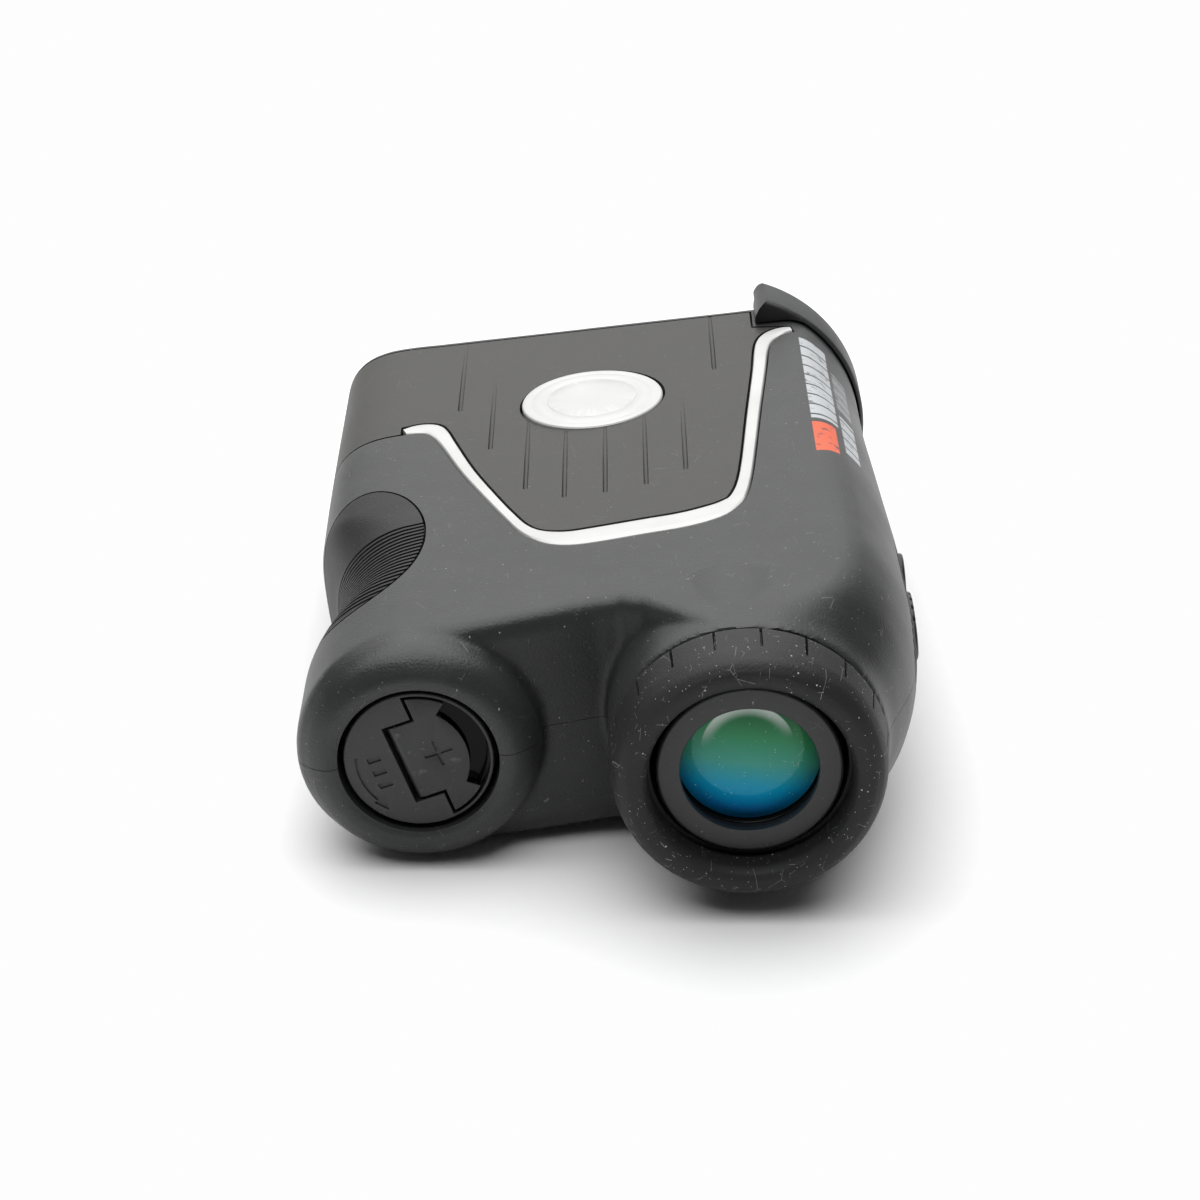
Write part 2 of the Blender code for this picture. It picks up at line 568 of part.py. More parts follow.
seal_profile = []
for i in range(8):
    angle = 2 * math.pi * i / 8
    seal_profile.append(((9.75 + 0.55 * math.cos(angle)) * MM, (8.3 + 0.55 * math.sin(angle)) * MM))
add("cap_seal", turned(seal_profile, 24, LOBE_X), look="soft_rubber")
cell_profile = [(0, 10.6), (6, 10.6), (6.2, 10.9), (8.2, 10.9), (8.5, 11.2), (8.5, 43.4), (8.2, 43.7),
                (3.2, 43.7), (3.2, 45.1), (0, 45.1)]
add("battery", turned([(r * MM, y * MM) for r, y in cell_profile], 24, LOBE_X), look="battery_wrap")
tube_profile = [(10.2, 12.6), (10.2, 50.4), (0, 50.4), (0, 49.2), (8.9, 49.2), (8.9, 12.6)]
add("battery_tube", turned([(r * MM, y * MM) for r, y in tube_profile], 24, LOBE_X), look="black_plastic")
add("contact_plate", turned(rod(8.2 * MM, 48.4 * MM, 48.9 * MM), SMALL_ROUND, LOBE_X), look="gold_plate")

spring_curve = bpy.data.curves.new("contact_spring", "CURVE")
spring_curve.dimensions = "3D"
spring_curve.bevel_depth = 0.3 * MM
spring_curve.bevel_resolution = 1
spring_curve.use_fill_caps = True
coil = spring_curve.splines.new("POLY")
turns, per_turn = 2.5, 12
coil.points.add(int(turns * per_turn))
for i, point in enumerate(coil.points):
    angle = 2 * math.pi * i / per_turn
    radius = (3.0 + 1.2 * i / (turns * per_turn)) * MM
    y = (45.8 + 1.9 * i / (turns * per_turn)) * MM
    point.co = (LOBE_X + radius * math.cos(angle), y, radius * math.sin(angle), 1)
spring = bpy.data.objects.new("contact_spring", spring_curve)
bpy.context.scene.collection.objects.link(spring)
spring.parent = device
spring_curve.materials.append(finishes["gold_plate"])

# ---- optics and electronics -----------------------------------------------------------------
holder = add("prism_holder", box((-14 * MM, 38 * MM, -13 * MM), (14.5 * MM, 66 * MM, 13 * MM)),
             look="black_plastic")
holder_room = add("holder_room",
                  box((-12.4 * MM, 39.6 * MM, -11.4 * MM), (12.9 * MM, 64.4 * MM, 11.4 * MM)), cutter=True)
holder_neck = add("holder_neck", turned(rod(11.2 * MM, 25 * MM, 39 * MM)), cutter=True)
holder_bore = add("holder_bore", turned(rod(9.5 * MM, 24 * MM, 70 * MM)), cutter=True)
combine(holder, holder_neck, "UNION")
cut(holder, holder_room, holder_bore)
prism_points = [(-12, 40), (12.5, 40), (12.5, 50), (0, 64), (-12, 52)]
add("prism", prism([(x * MM, y * MM) for x, y in prism_points], -10 * MM, 10 * MM), look="lens_glass")
add("reticle_display", turned(rod(9.1 * MM, 30 * MM, 31.6 * MM), SMALL_ROUND), look="lens_glass")

cell_ring = [(14.2, 69.0), (14.2, 105.4), (12.5, 105.4), (12.5, 95.5), (11.4, 95.5), (11.4, 69.0)]
add("objective_cell", turned([(r * MM, y * MM) for r, y in cell_ring]), look="black_metal")
glass_profile = [(0, 95.0), (6, 95.2), (10.6, 95.9), (12.2, 96.0), (12.2, 99.4), (9.5, 100.5), (5, 101.3),
                 (0, 101.6)]
add("objective_lens", turned([(r * MM, y * MM) for r, y in glass_profile]), look="lens_glass")
add("retaining_ring", turned(tube(12.2 * MM, 11.2 * MM, 101.9 * MM, 103.4 * MM)), look="black_metal")
laser_ring = [(8.0, 72.0), (8.0, 106.0), (6.9, 106.0), (6.9, 73.2), (3.2, 73.2), (3.2, 72.0)]
add("laser_barrel", turned([(r * MM, y * MM) for r, y in laser_ring], 24, EMITTER_X), look="black_metal")
window_profile = [(0, 102.0), (6.6, 102.0), (6.6, 103.6), (4, 104.3), (0, 104.6)]
add("emitter_lens", turned([(r * MM, y * MM) for r, y in window_profile], 24, EMITTER_X), look="lens_glass")
diode_profile = [(0, 69.0), (4.4, 69.0), (4.4, 70.4), (2.7, 70.4), (2.7, 74.6), (0, 74.6)]
add("laser_diode", turned([(r * MM, y * MM) for r, y in diode_profile], SMALL_ROUND, EMITTER_X),
    look="gold_plate")
add("receiver_board", box((-18.4 * MM, 42 * MM, -10 * MM), (-17.2 * MM, 64 * MM, 10 * MM)),
    look="circuit_board")
add("main_board", box((-49 * MM, 53 * MM, 10.6 * MM), (-26 * MM, 82 * MM, 11.8 * MM)), look="circuit_board")

# The device frame's transform only reaches its children once the view layer is evaluated.
bpy.context.view_layer.update()
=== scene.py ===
# %% [markdown]
# # A handheld laser rangefinder, put down on its side
# The model that moves is already made: it comes in as a fixed frame of named nodes on bodies.
# This lesson gives it its looks. Each visible piece is made again with fine curves and edges, in
# the place of its plain node, and every piece gets a finish that is worked out by shader nodes.
# %% Load the frame
import json
import math

import bpy
from mathutils import Matrix, Vector

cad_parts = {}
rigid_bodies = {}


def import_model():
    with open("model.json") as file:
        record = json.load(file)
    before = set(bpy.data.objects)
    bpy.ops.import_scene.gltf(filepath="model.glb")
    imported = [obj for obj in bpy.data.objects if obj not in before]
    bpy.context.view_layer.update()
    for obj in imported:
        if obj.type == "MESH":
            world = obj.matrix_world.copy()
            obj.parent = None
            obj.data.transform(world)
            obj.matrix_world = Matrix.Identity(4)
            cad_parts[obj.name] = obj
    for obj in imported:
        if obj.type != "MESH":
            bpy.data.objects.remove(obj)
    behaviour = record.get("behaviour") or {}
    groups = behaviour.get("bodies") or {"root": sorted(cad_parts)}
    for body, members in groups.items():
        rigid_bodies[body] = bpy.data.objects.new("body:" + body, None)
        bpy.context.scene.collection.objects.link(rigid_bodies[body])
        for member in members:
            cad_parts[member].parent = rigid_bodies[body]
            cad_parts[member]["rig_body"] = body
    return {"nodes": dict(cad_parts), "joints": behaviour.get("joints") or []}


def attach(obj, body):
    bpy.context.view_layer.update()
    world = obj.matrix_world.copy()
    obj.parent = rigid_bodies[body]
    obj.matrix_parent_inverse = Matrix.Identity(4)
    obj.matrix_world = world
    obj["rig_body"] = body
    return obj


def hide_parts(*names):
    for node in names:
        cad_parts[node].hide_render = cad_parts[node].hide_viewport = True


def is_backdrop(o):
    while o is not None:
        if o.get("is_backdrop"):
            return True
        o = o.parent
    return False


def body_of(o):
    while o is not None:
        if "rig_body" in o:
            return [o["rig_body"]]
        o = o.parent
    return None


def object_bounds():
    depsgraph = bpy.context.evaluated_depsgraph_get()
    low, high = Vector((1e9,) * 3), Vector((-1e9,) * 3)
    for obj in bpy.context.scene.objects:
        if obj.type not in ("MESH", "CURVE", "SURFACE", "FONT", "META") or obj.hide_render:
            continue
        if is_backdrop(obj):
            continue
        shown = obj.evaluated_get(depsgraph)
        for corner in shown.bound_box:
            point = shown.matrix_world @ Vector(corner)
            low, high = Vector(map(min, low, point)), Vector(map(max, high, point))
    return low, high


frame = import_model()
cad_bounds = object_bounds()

MM = 0.001
joints = {joint["name"]: joint for joint in frame["joints"]}
seam_centre = Vector(joints["dioptre_turn"]["pos_m"])
press_axis = joints["power_press"]["axis"]
roll = math.atan2(-press_axis[2], -press_axis[0])
DEVICE = Matrix.Translation(seam_centre) @ Matrix.Rotation(-roll, 4, "Y")
lobe_centre = DEVICE.inverted() @ Vector(joints["cap_turn"]["pos_m"])
print(f"optical axis at {seam_centre[:]}, rolled {math.degrees(roll):.2f} degrees")

# %% [markdown]
# The camera stands behind the eyepiece and looks down at the device with a long lens, so the
# shape is little distorted. It comes first, because every later choice is judged through it.
# %% Camera
CAMERA_PLACE = seam_centre + Vector((-19.05 * MM, -335.3 * MM, 192.5 * MM))
CAMERA_PITCH = math.radians(27)

camera_data = bpy.data.cameras.new("camera")
camera_data.lens = 90
camera_data.sensor_width = 36
camera_data.clip_start = 0.01
camera = bpy.data.objects.new("camera", camera_data)
bpy.context.scene.collection.objects.link(camera)
camera.location = CAMERA_PLACE
camera.rotation_euler = (math.radians(90) - CAMERA_PITCH, 0, 0)
bpy.context.scene.camera = camera

# %% [markdown]
# Most steps below are a few operators in a row: pick one object, add a modifier, apply it. Small
# helpers keep that short. Everything is deselected first, because an operator acts on all that is
# selected.
# %% Helpers for picking, cutting and joining
SMOOTH_ANGLE = math.radians(32)


def pick(piece):
    """Makes one object the only one selected, and the active one."""
    if bpy.context.object and bpy.context.object.mode != "OBJECT":
        bpy.ops.object.mode_set(mode="OBJECT")
    bpy.ops.object.select_all(action="DESELECT")
    piece.select_set(True)
    bpy.context.view_layer.objects.active = piece
    return piece


def modify(piece, kind, **settings):
    """Adds a modifier, sets it and applies it."""
    pick(piece)
    bpy.ops.object.modifier_add(type=kind)
    step = piece.modifiers[-1]
    for name, value in settings.items():
        setattr(step, name, value)
    bpy.ops.object.modifier_apply(modifier=step.name)
    return piece


def combine(piece, operation, *others):
    for other in others:
        modify(piece, "BOOLEAN", operation=operation, solver="MANIFOLD", object=other)
    return piece


def cut(piece, *others):
    return combine(piece, "DIFFERENCE", *others)


def keep_inside(piece, *others):
    return combine(piece, "INTERSECT", *others)


def copy_of(piece, name):
    twin = piece.copy()
    twin.data = piece.data.copy()
    twin.name = name
    bpy.context.scene.collection.objects.link(twin)
    return twin


def drop(*pieces):
    for piece in pieces:
        bpy.data.objects.remove(piece, do_unlink=True)


def ease_edges(piece, width, segments, angle=40):
    """Rounds the sharp edges of a crisp piece."""
    return modify(piece, "BEVEL", width=width, segments=segments, limit_method="ANGLE",
                  angle_limit=math.radians(angle), harden_normals=False, use_clamp_overlap=True)


def on_whole_mesh(piece, operator, **settings):
    """Selects the whole mesh in edit mode and runs one operator on it."""
    pick(piece)
    bpy.ops.object.mode_set(mode="EDIT")
    bpy.ops.mesh.select_all(action="SELECT")
    operator(**settings)
    bpy.ops.object.mode_set(mode="OBJECT")
    return piece


def tidy_mesh(piece):
    """Merges doubles and turns all faces outward."""
    on_whole_mesh(piece, bpy.ops.mesh.remove_doubles, threshold=0.002 * MM)
    return on_whole_mesh(piece, bpy.ops.mesh.normals_make_consistent, inside=False)


def from_points(name, points, edges=(), faces=()):
    mesh = bpy.data.meshes.new(name)
    mesh.from_pydata(points, edges, faces)
    piece = bpy.data.objects.new(name, mesh)
    bpy.context.scene.collection.objects.link(piece)
    return piece


# %% [markdown]
# Lenses, rings, caps and the eyecup are all turned pieces. On a lathe the cutter follows one
# outline while the work turns; the spin operator does the same with a profile of radius and
# length. A slab is the other common start: a flat outline extruded to a height.
# %% Turned pieces, slabs and bars
def turned(name, profile, axis_x=0.0, steps=96):
    """Spins a closed outline of (radius, y) in millimetres about a line along Y."""
    points = [(axis_x + radius * MM, y * MM, 0) for radius, y in profile]
    edges = [(i, (i + 1) % len(points)) for i in range(len(points))]
    return tidy_mesh(on_whole_mesh(from_points(name, points, edges), bpy.ops.mesh.spin, steps=steps,
                                   angle=math.tau, center=(axis_x, 0, 0), axis=(0, 1, 0)))


def plug(name, radius, low, high, axis_x=0.0):
    """A round bar along Y, in millimetres."""
    return turned(name, [(0, low), (radius, low), (radius, high), (0, high)], axis_x)


def rounded(profile, radius=0.3, steps=3):
    """Replaces each corner of a closed outline by a short arc."""
    result = []
    for i, corner in enumerate(profile):
        here = Vector(corner)
        before = Vector(profile[i - 1]) - here
        after = Vector(profile[(i + 1) % len(profile)]) - here
        if here.x == 0:
            result.append(corner)
            continue
        reach = min(radius, 0.4 * before.length, 0.4 * after.length)
        first = here + before.normalized() * reach
        last = here + after.normalized() * reach
        for k in range(steps + 1):
            t = k / steps
            point = first * (1 - t) ** 2 + here * 2 * t * (1 - t) + last * t ** 2
            result.append((max(0.0, point.x), point.y))
    return result


def slab(name, outline, low, high, axis="Z"):
    """Extrudes a flat outline between two values on an axis; its points are on the other two axes."""
    index = "XYZ".index(axis)
    points = [(*point[:index], low, *point[index:]) for point in outline]
    lift = [0, 0, 0]
    lift[index] = high - low
    flat = from_points(name, points, faces=[range(len(points))])
    return tidy_mesh(on_whole_mesh(flat, bpy.ops.mesh.extrude_region_move,
                                   TRANSFORM_OT_translate={"value": lift}))


def in_metres(points):
    return [(a * MM, b * MM) for a, b in points]


def block(name, low, high):
    (x0, y0, z0), (x1, y1, z1) = low, high
    return slab(name, [(x0, y0), (x1, y0), (x1, y1), (x0, y1)], z0, z1)


def oval(centre, radii, steps=64, grow=0.0):
    points = []
    for i in range(steps):
        angle = math.tau * (i + 0.5) / steps
        points.append((centre[0] + (radii[0] + grow) * math.cos(angle),
                       centre[1] + (radii[1] + grow) * math.sin(angle)))
    return points


def curve_through(points, steps=6):
    """A smooth line through a few points, as a Catmull-Rom spline."""
    ends = [points[0]] + list(points) + [points[-1]]
    line = []
    for i in range(1, len(ends) - 2):
        p0, p1, p2, p3 = (Vector(p) for p in ends[i - 1:i + 3])
        for k in range(steps):
            t = k / steps
            line.append((0.5 * (2 * p1 + (p2 - p0) * t + (2 * p0 - 5 * p1 + 4 * p2 - p3) * t * t
                                + (3 * p1 - p0 - 3 * p2 + p3) * t ** 3))[:])
    line.append(tuple(points[-1]))
    return line


def beside(line, distance_at, extend=0.0):
    """The line moved sideways, mitred at its corners; a positive distance is to its left."""
    points = [Vector(point[:2]) for point in line]
    points[0] += (points[0] - points[1]).normalized() * extend
    points[-1] += (points[-1] - points[-2]).normalized() * extend
    result = []
    for i, point in enumerate(points):
        into = (point - points[i - 1]).normalized() if i else (points[1] - point).normalized()
        out = (points[i + 1] - point).normalized() if i + 1 < len(points) else into
        along = (into + out).normalized()
        reach = distance_at(line[i]) / max(0.6, along.dot(into))
        result.append((point.x - along.y * reach, point.y + along.x * reach))
    return result


def finish_piece(piece, body, slot, material, *nodes):
    """Puts a piece in its place in the world, gives it its finish, sets the body it rides on and hides the
    nodes it replaces.
    """
    piece.data.transform(DEVICE)
    piece.data.materials.clear()
    piece.data.materials.append(material)
    pick(piece)
    bpy.ops.object.shade_smooth_by_angle(angle=SMOOTH_ANGLE)
    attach(piece, body)
    if nodes:
        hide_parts(*nodes)
    print(f"{piece.name}: {len(piece.data.polygons)} faces on {body}")
    return piece


# %% [markdown]
# Shader maths reads best as maths. This class wraps a socket, so a sum or a product of two of
# them adds its Math node. Any other node comes from one method.
# %% Shader values as expressions
class Field:
    """A value that changes over a surface."""

    def __init__(self, tree, socket):
        self.tree = tree
        self.socket = socket

    def node(self, kind, inputs=None, **settings):
        made = self.tree.nodes.new(kind)
        stops = settings.pop("stops", None)
        for name, value in settings.items():
            setattr(made, name, value)
        for place, (position, colour) in enumerate(stops or []):
            ramp = made.color_ramp.elements
            stop = ramp[place] if place < len(ramp) else ramp.new(position)
            stop.position = position
            stop.color = (*colour, 1)
        for name, value in (inputs or {}).items():
            if isinstance(value, Field):
                self.tree.links.new(value.socket, made.inputs[name])
            else:
                made.inputs[name].default_value = value
        return made

    def get(self, made, output=0):
        return Field(self.tree, made.outputs[output])

    def math(self, operation, other=0.0, first=None):
        left = self if first is None else first
        return self.get(self.node("ShaderNodeMath", {0: left, 1: other}, operation=operation))

    def __add__(self, other):
        return self.math("ADD", other)

    __radd__ = __add__

    def __sub__(self, other):
        return self.math("SUBTRACT", other)

    def __rsub__(self, other):
        return self.math("SUBTRACT", self, first=other)

    def __mul__(self, other):
        return self.math("MULTIPLY", other)

    __rmul__ = __mul__

    def __truediv__(self, other):
        return self.math("DIVIDE", other)

    def smooth(self, low, high, out_low=0.0, out_high=1.0):
        """Rises from out_low to out_high as this value goes from low to high."""
        inputs = {"Value": self, "From Min": low, "From Max": high, "To Min": out_low, "To Max": out_high}
        return self.get(self.node("ShaderNodeMapRange", inputs, interpolation_type="SMOOTHSTEP"))

    def between(self, low, high, edge):
        """1 from low to high, fading over edge on both sides."""
        return self.smooth(low - edge, low + edge) * self.smooth(high - edge, high + edge, 1.0, 0.0)

    def noise(self, scale, detail=2.0, roughness=0.5):
        inputs = {"Vector": self, "Scale": scale, "Detail": detail, "Roughness": roughness}
        return self.get(self.node("ShaderNodeTexNoise", inputs))

    def cells(self, scale, feature="F1", output="Distance"):
        made = self.node("ShaderNodeTexVoronoi", {"Vector": self, "Scale": scale}, feature=feature)
        return self.get(made, output)

    def moved(self, place=(0, 0, 0), turn=(0, 0, 0), scale=(1, 1, 1)):
        inputs = {"Vector": self, "Location": place, "Rotation": turn, "Scale": scale}
        return self.get(self.node("ShaderNodeMapping", inputs))

    def axis(self, index):
        return self.get(self.node("ShaderNodeSeparateXYZ", {0: self}), index)

    def mix(self, low_colour, high_colour):
        """Blends two colours by this value."""
        inputs = {0: self}
        for place, colour in ((6, low_colour), (7, high_colour)):
            inputs[place] = colour if isinstance(colour, Field) else (*colour, 1)
        made = self.node("ShaderNodeMix", inputs, data_type="RGBA")
        return self.get(made, 2)


def finish(name, roughness=0.5, metallic=0.0, coat=0.0):
    """A new material: returns it, its Principled shader and the object coordinates."""
    material = bpy.data.materials.new(name)
    material.use_nodes = True
    tree = material.node_tree
    shader = tree.nodes["Principled BSDF"]
    shader.inputs["Roughness"].default_value = roughness
    shader.inputs["Metallic"].default_value = metallic
    shader.inputs["Coat Weight"].default_value = coat
    place = Field(tree, tree.nodes.new("ShaderNodeTexCoord").outputs["Object"])
    return material, shader, place


def connect(shader, name, value):
    value.tree.links.new(value.socket, shader.inputs[name])


def bump(shader, height, distance, strength=1.0):
    """Raises the surface by height times distance, in metres."""
    made = height.node("ShaderNodeBump", {"Height": height, "Distance": distance, "Strength": strength})
    connect(shader, "Normal", height.get(made))


# %% [markdown]
# Handled rubber is never one grey. It has a fine moulded grain, cloudy dull patches, tiny specks
# of lint and hair-thin scratches. Noise makes the grain and the clouds; the specks are the
# middles of a few Voronoi cells, and a scratch is a short piece of a cell's border.
# %% Rubber finishes
def lint(place, amount):
    """Specks and hairs, 0 to 1, more of them as amount rises."""
    hairs = 0.0
    specks = 0.0
    for size, share in ((1300.0, 0.05), (2400.0, 0.12)):
        share *= amount
        chosen = place.cells(size, output="Color").axis(0).smooth(1 - share, 1 - 0.9 * share)
        specks = place.cells(size).smooth(0.09, 0.2, 1.0, 0.0) * chosen + specks
    for turn, size in (((0.4, 0.9, 0.2), 260.0), ((1.1, 0.2, 0.8), 420.0)):
        bent = place.moved(turn=turn, scale=(1.0, 0.45, 1.0))
        line = bent.cells(size, feature="DISTANCE_TO_EDGE").smooth(0.003, 0.012, 1.0, 0.0)
        piece = bent.noise(size * 1.6, 1.0).smooth(0.68 - 0.05 * amount, 0.72 - 0.05 * amount)
        hairs = line * piece + hairs
    return (specks + hairs * 0.4).smooth(0.0, 1.0)


def device_axes(place):
    """The device's own X, Y and Z over the surface, in millimetres."""
    x, y, z = ((place.axis(i) - seam_centre[i]) / MM for i in range(3))
    return x * math.cos(roll) + z * math.sin(roll), y, z * math.cos(roll) - x * math.sin(roll)


def rubber(name, dark, light, dust, grain, roughness, lint_amount, printed=False):
    material, shader, place = finish(name, roughness)
    clouds = place.noise(55.0, 4.0, 0.6).smooth(0.32, 0.72)
    worn = place.noise(260.0, 3.0, 0.65).smooth(0.35, 0.75)
    marks = lint(place, lint_amount)
    colour = (clouds * 0.65 + worn * 0.35).mix(dark, light)
    colour = (marks * dust).mix(colour, (0.55, 0.55, 0.53))
    if printed:
        x, y, z = device_axes(place)
        upper = z.smooth(4.0, 5.0)
        small = y.between(55.4, 71.0, 0.1) + y.between(74.0, 90.0, 0.1) * 0.4
        silver = (x.between(13.4, 17.2, 0.08) * y.between(64.2, 96.0, 0.1)
                  + x.between(17.7, 19.6, 0.08) * small) * upper
        gaps = (y * 0.26).math("FRACT").between(0.14, 1.2, 0.01)
        orange = x.between(13.4, 16.7, 0.08) * y.between(52.5, 62.8, 0.1) * upper
        worn_print = place.noise(700.0, 3.0).smooth(0.25, 0.45)
        colour = (silver * gaps * worn_print * 0.9).mix(colour, (0.52, 0.54, 0.56))
        colour = (orange * worn_print).mix(colour, (0.72, 0.10, 0.03))
    connect(shader, "Base Color", colour)
    connect(shader, "Roughness", roughness + 0.08 * (clouds - 0.5) + 0.12 * marks)
    fine = place.noise(3800.0, 2.0, 0.6)
    pits = place.cells(2600.0).smooth(0.0, 0.7)
    bump(shader, fine * 0.5 + pits * 0.5 + marks * 0.6, grain)
    return material


ARMOUR_DARK, ARMOUR_LIGHT = (0.026, 0.027, 0.027), (0.038, 0.039, 0.039)
ARMOUR = (ARMOUR_DARK, ARMOUR_LIGHT, 0.45, 0.035 * MM, 0.46, 0.55)
armour_rubber = rubber("armour_rubber", *ARMOUR)
printed_rubber = rubber("printed_rubber", *ARMOUR, printed=True)
eyecup_rubber = rubber("eyecup_rubber", (0.012, 0.012, 0.012), (0.020, 0.020, 0.020), 0.8,
                       0.040 * MM, 0.62, 1.5)
grip_rubber = rubber("grip_rubber", (0.009, 0.009, 0.009), (0.014, 0.014, 0.014), 0.25,
                     0.030 * MM, 0.58, 0.3)
print("rubber finishes made")

# %% [markdown]
# The side panel and the cap are moulded in hard plastic with a spark-eroded texture: duller and
# finer than rubber, a little warmer on the panel. The trim and the badge are satin metal paint,
# brushed very finely, so they catch the light as a soft white band.
# %% Plastic and metal finishes
def plastic(name, dark, light, roughness, grain, marks_shown=0.12):
    """Clouded colour, a few long scuffs and a spark-eroded grain."""
    material, shader, place = finish(name, roughness)
    clouds = place.noise(70.0, 4.0, 0.55).smooth(0.3, 0.7)
    stretched = place.moved(turn=(0.2, 0.1, 0.7), scale=(1.0, 9.0, 1.0))
    scuffs = stretched.noise(230.0, 3.0, 0.7).smooth(0.64, 0.74)
    marks = scuffs * marks_shown + lint(place, 0.3) * 0.3
    connect(shader, "Base Color", marks.mix(clouds.mix(dark, light), (0.5, 0.5, 0.49)))
    connect(shader, "Roughness", roughness + 0.06 * (clouds - 0.5) + 0.08 * scuffs)
    bump(shader, place.noise(5200.0, 3.0, 0.6) + 0.4 * place.cells(2600.0), grain)
    return material


def metal(name, colour, shade, roughness, metallic=1.0):
    """Brushed along Y, with smudges."""
    material, shader, place = finish(name, roughness, metallic)
    brushed = place.moved(scale=(1.0, 30.0, 1.0)).noise(900.0, 3.0, 0.6)
    smudges = place.noise(90.0, 3.0, 0.55).smooth(0.35, 0.7)
    connect(shader, "Base Color", (brushed * 0.5 + smudges * 0.5).mix(shade, colour))
    connect(shader, "Roughness", roughness + 0.10 * (smudges - 0.5) + 0.08 * (brushed - 0.5))
    bump(shader, brushed, 0.004 * MM)
    return material


panel_plastic = plastic("panel_plastic", (0.030, 0.029, 0.027), (0.042, 0.041, 0.038), 0.50, 0.030 * MM)
cap_plastic = plastic("cap_plastic", (0.026, 0.026, 0.027), (0.034, 0.034, 0.035), 0.40, 0.018 * MM)
bezel_plastic = plastic("bezel_plastic", (0.026, 0.026, 0.027), (0.033, 0.033, 0.034), 0.36, 0.012 * MM)
button_plastic = plastic("button_plastic", (0.030, 0.030, 0.031), (0.040, 0.040, 0.041), 0.42, 0.020 * MM)
# Near black with a weak reflection: painted shade for the fingernail recess of the cap tab.
gloss_black_painted_shade = plastic("gloss_black_painted_shade", (0.002, 0.002, 0.002), (0.003, 0.003, 0.003), 0.14, 0.002 * MM,
                      marks_shown=0.02)
gloss_black_painted_shade.node_tree.nodes["Principled BSDF"].inputs["Specular IOR Level"].default_value = 0.15
dark_inside = plastic("dark_inside", (0.010, 0.010, 0.010), (0.016, 0.016, 0.016), 0.60, 0.020 * MM)
satin_silver = metal("satin_silver", (0.66, 0.66, 0.65), (0.56, 0.56, 0.55), 0.42, metallic=0.2)
bright_steel = metal("bright_steel", (0.62, 0.62, 0.63), (0.50, 0.50, 0.52), 0.28)
black_anodised = metal("black_anodised", (0.030, 0.030, 0.031), (0.020, 0.020, 0.021), 0.38, metallic=0.5)
gold_plating = metal("gold_plating", (0.83, 0.62, 0.27), (0.72, 0.52, 0.20), 0.26)
print("plastic and metal finishes made")

# %% [markdown]
# The eye lens is dark glass under a coating that reflects green near the top and blue at the
# bottom. The coating's colour is blended down the lens, and a pale arc near its top stands for the
# lamp mirrored in the glass behind. The front lenses carry a magenta and amber coating.
# %% Lens coatings
def coated_lens(name, stops, half_height, glint=0.0, roughness=0.04):
    """A coating whose colour changes from the bottom of the lens to its top."""
    material, shader, place = finish(name, roughness, coat=0.3)
    shader.inputs["Coat Roughness"].default_value = 0.02
    shader.inputs["Specular IOR Level"].default_value = 0.1
    x, y, z = device_axes(place)
    along = (z + x * 0.22) / (2 * half_height) + 0.5
    tint = place.get(place.node("ShaderNodeValToRGB", {0: along}, stops=stops))
    shade = (place.noise(60.0, 2.0) * 0.12).mix(tint, (0.02, 0.12, 0.12))
    if glint:
        away = ((x * x) + (z - 1.6) * (z - 1.6)).math("SQRT")
        arc = away.smooth(4.3, 5.9) * away.smooth(5.9, 6.1, 1.0, 0.0) * z.smooth(2.2, 6.5)
        shade = (arc * glint).mix(shade, (0.80, 0.92, 0.84))
    dust = lint(place, 0.8)
    connect(shader, "Base Color", (dust * 0.8).mix(shade, (0.6, 0.65, 0.6)))
    connect(shader, "Roughness", roughness + 0.3 * dust)
    return material


eye_coating = coated_lens("eye_coating", [(0.0, (0.004, 0.22, 0.52)), (0.26, (0.008, 0.34, 0.56)),
                                          (0.48, (0.070, 0.34, 0.26)), (0.70, (0.050, 0.27, 0.12)),
                                          (1.0, (0.010, 0.10, 0.03))], 8.6, glint=0.85)
front_coating = coated_lens("front_coating", [(0.0, (0.10, 0.03, 0.02)), (0.5, (0.05, 0.015, 0.05)),
                                              (1.0, (0.02, 0.03, 0.09))], 12.0)
print("lens coatings made")

# %% [markdown]
# The housing is soft almost everywhere: a round tube for the optics at the top, a lobe for the
# battery at the underside, and flat sides between them that narrow towards the front. Its section
# changes slowly along the optical axis, so it is drawn section by section from a few tables. A
# cubic through each table's values keeps the skin free of facets.
# %% The body's sections
BODY_LENGTH = 110 * MM               # eyecup seam to front face
HALF_THICKNESS = 17.2 * MM           # mid-plane to side face, on the optical axis
SIDE_SLOPE = 0.0195                  # the sides come together towards the underside
LOBE_X = lobe_centre.x               # battery axis, beside the optical axis
EMITTER_X = -37 * MM                 # laser axis
LOBE_R = 16.3 * MM
BLEND_WIDTH = 17.5 * MM              # how far the tube's shape fades into the side, along X
SKIN = 1.2 * MM                      # thickness of the set-in panels and rubber
GAP = 0.3 * MM
WALL = 2.0 * MM

# tables of (distance from the seam, value), millimetres
TOP_RADIUS = [(0, 18.15), (3, 18.8), (7, 20.4), (12, 22.2), (18, 23.4), (26, 24.0), (40, 23.9),
              (68, 22.9), (90, 22.1), (110, 22.0)]
THICKNESS_GAIN = [(0, 1.1), (6, 0.7), (14, 0.0), (110, 0.0)]
CORNER_POWER = [(0, 2.0), (20, 2.0), (75, 3.3), (110, 3.6)]
EDGE_ROUND = [(0, 3.0), (0.9, 1.3), (2.2, 0.4), (4, 0.0), (108.4, 0.0), (109.4, 0.45), (110, 1.2)]

GRIP_CENTRE = (-52.5 * MM, 38.5 * MM)
GRIP_RADII = (10.5 * MM, 17.5 * MM)
GRIP_DEPTH = 3.6 * MM
ARC_STEPS = 22                       # points along each quarter of a section


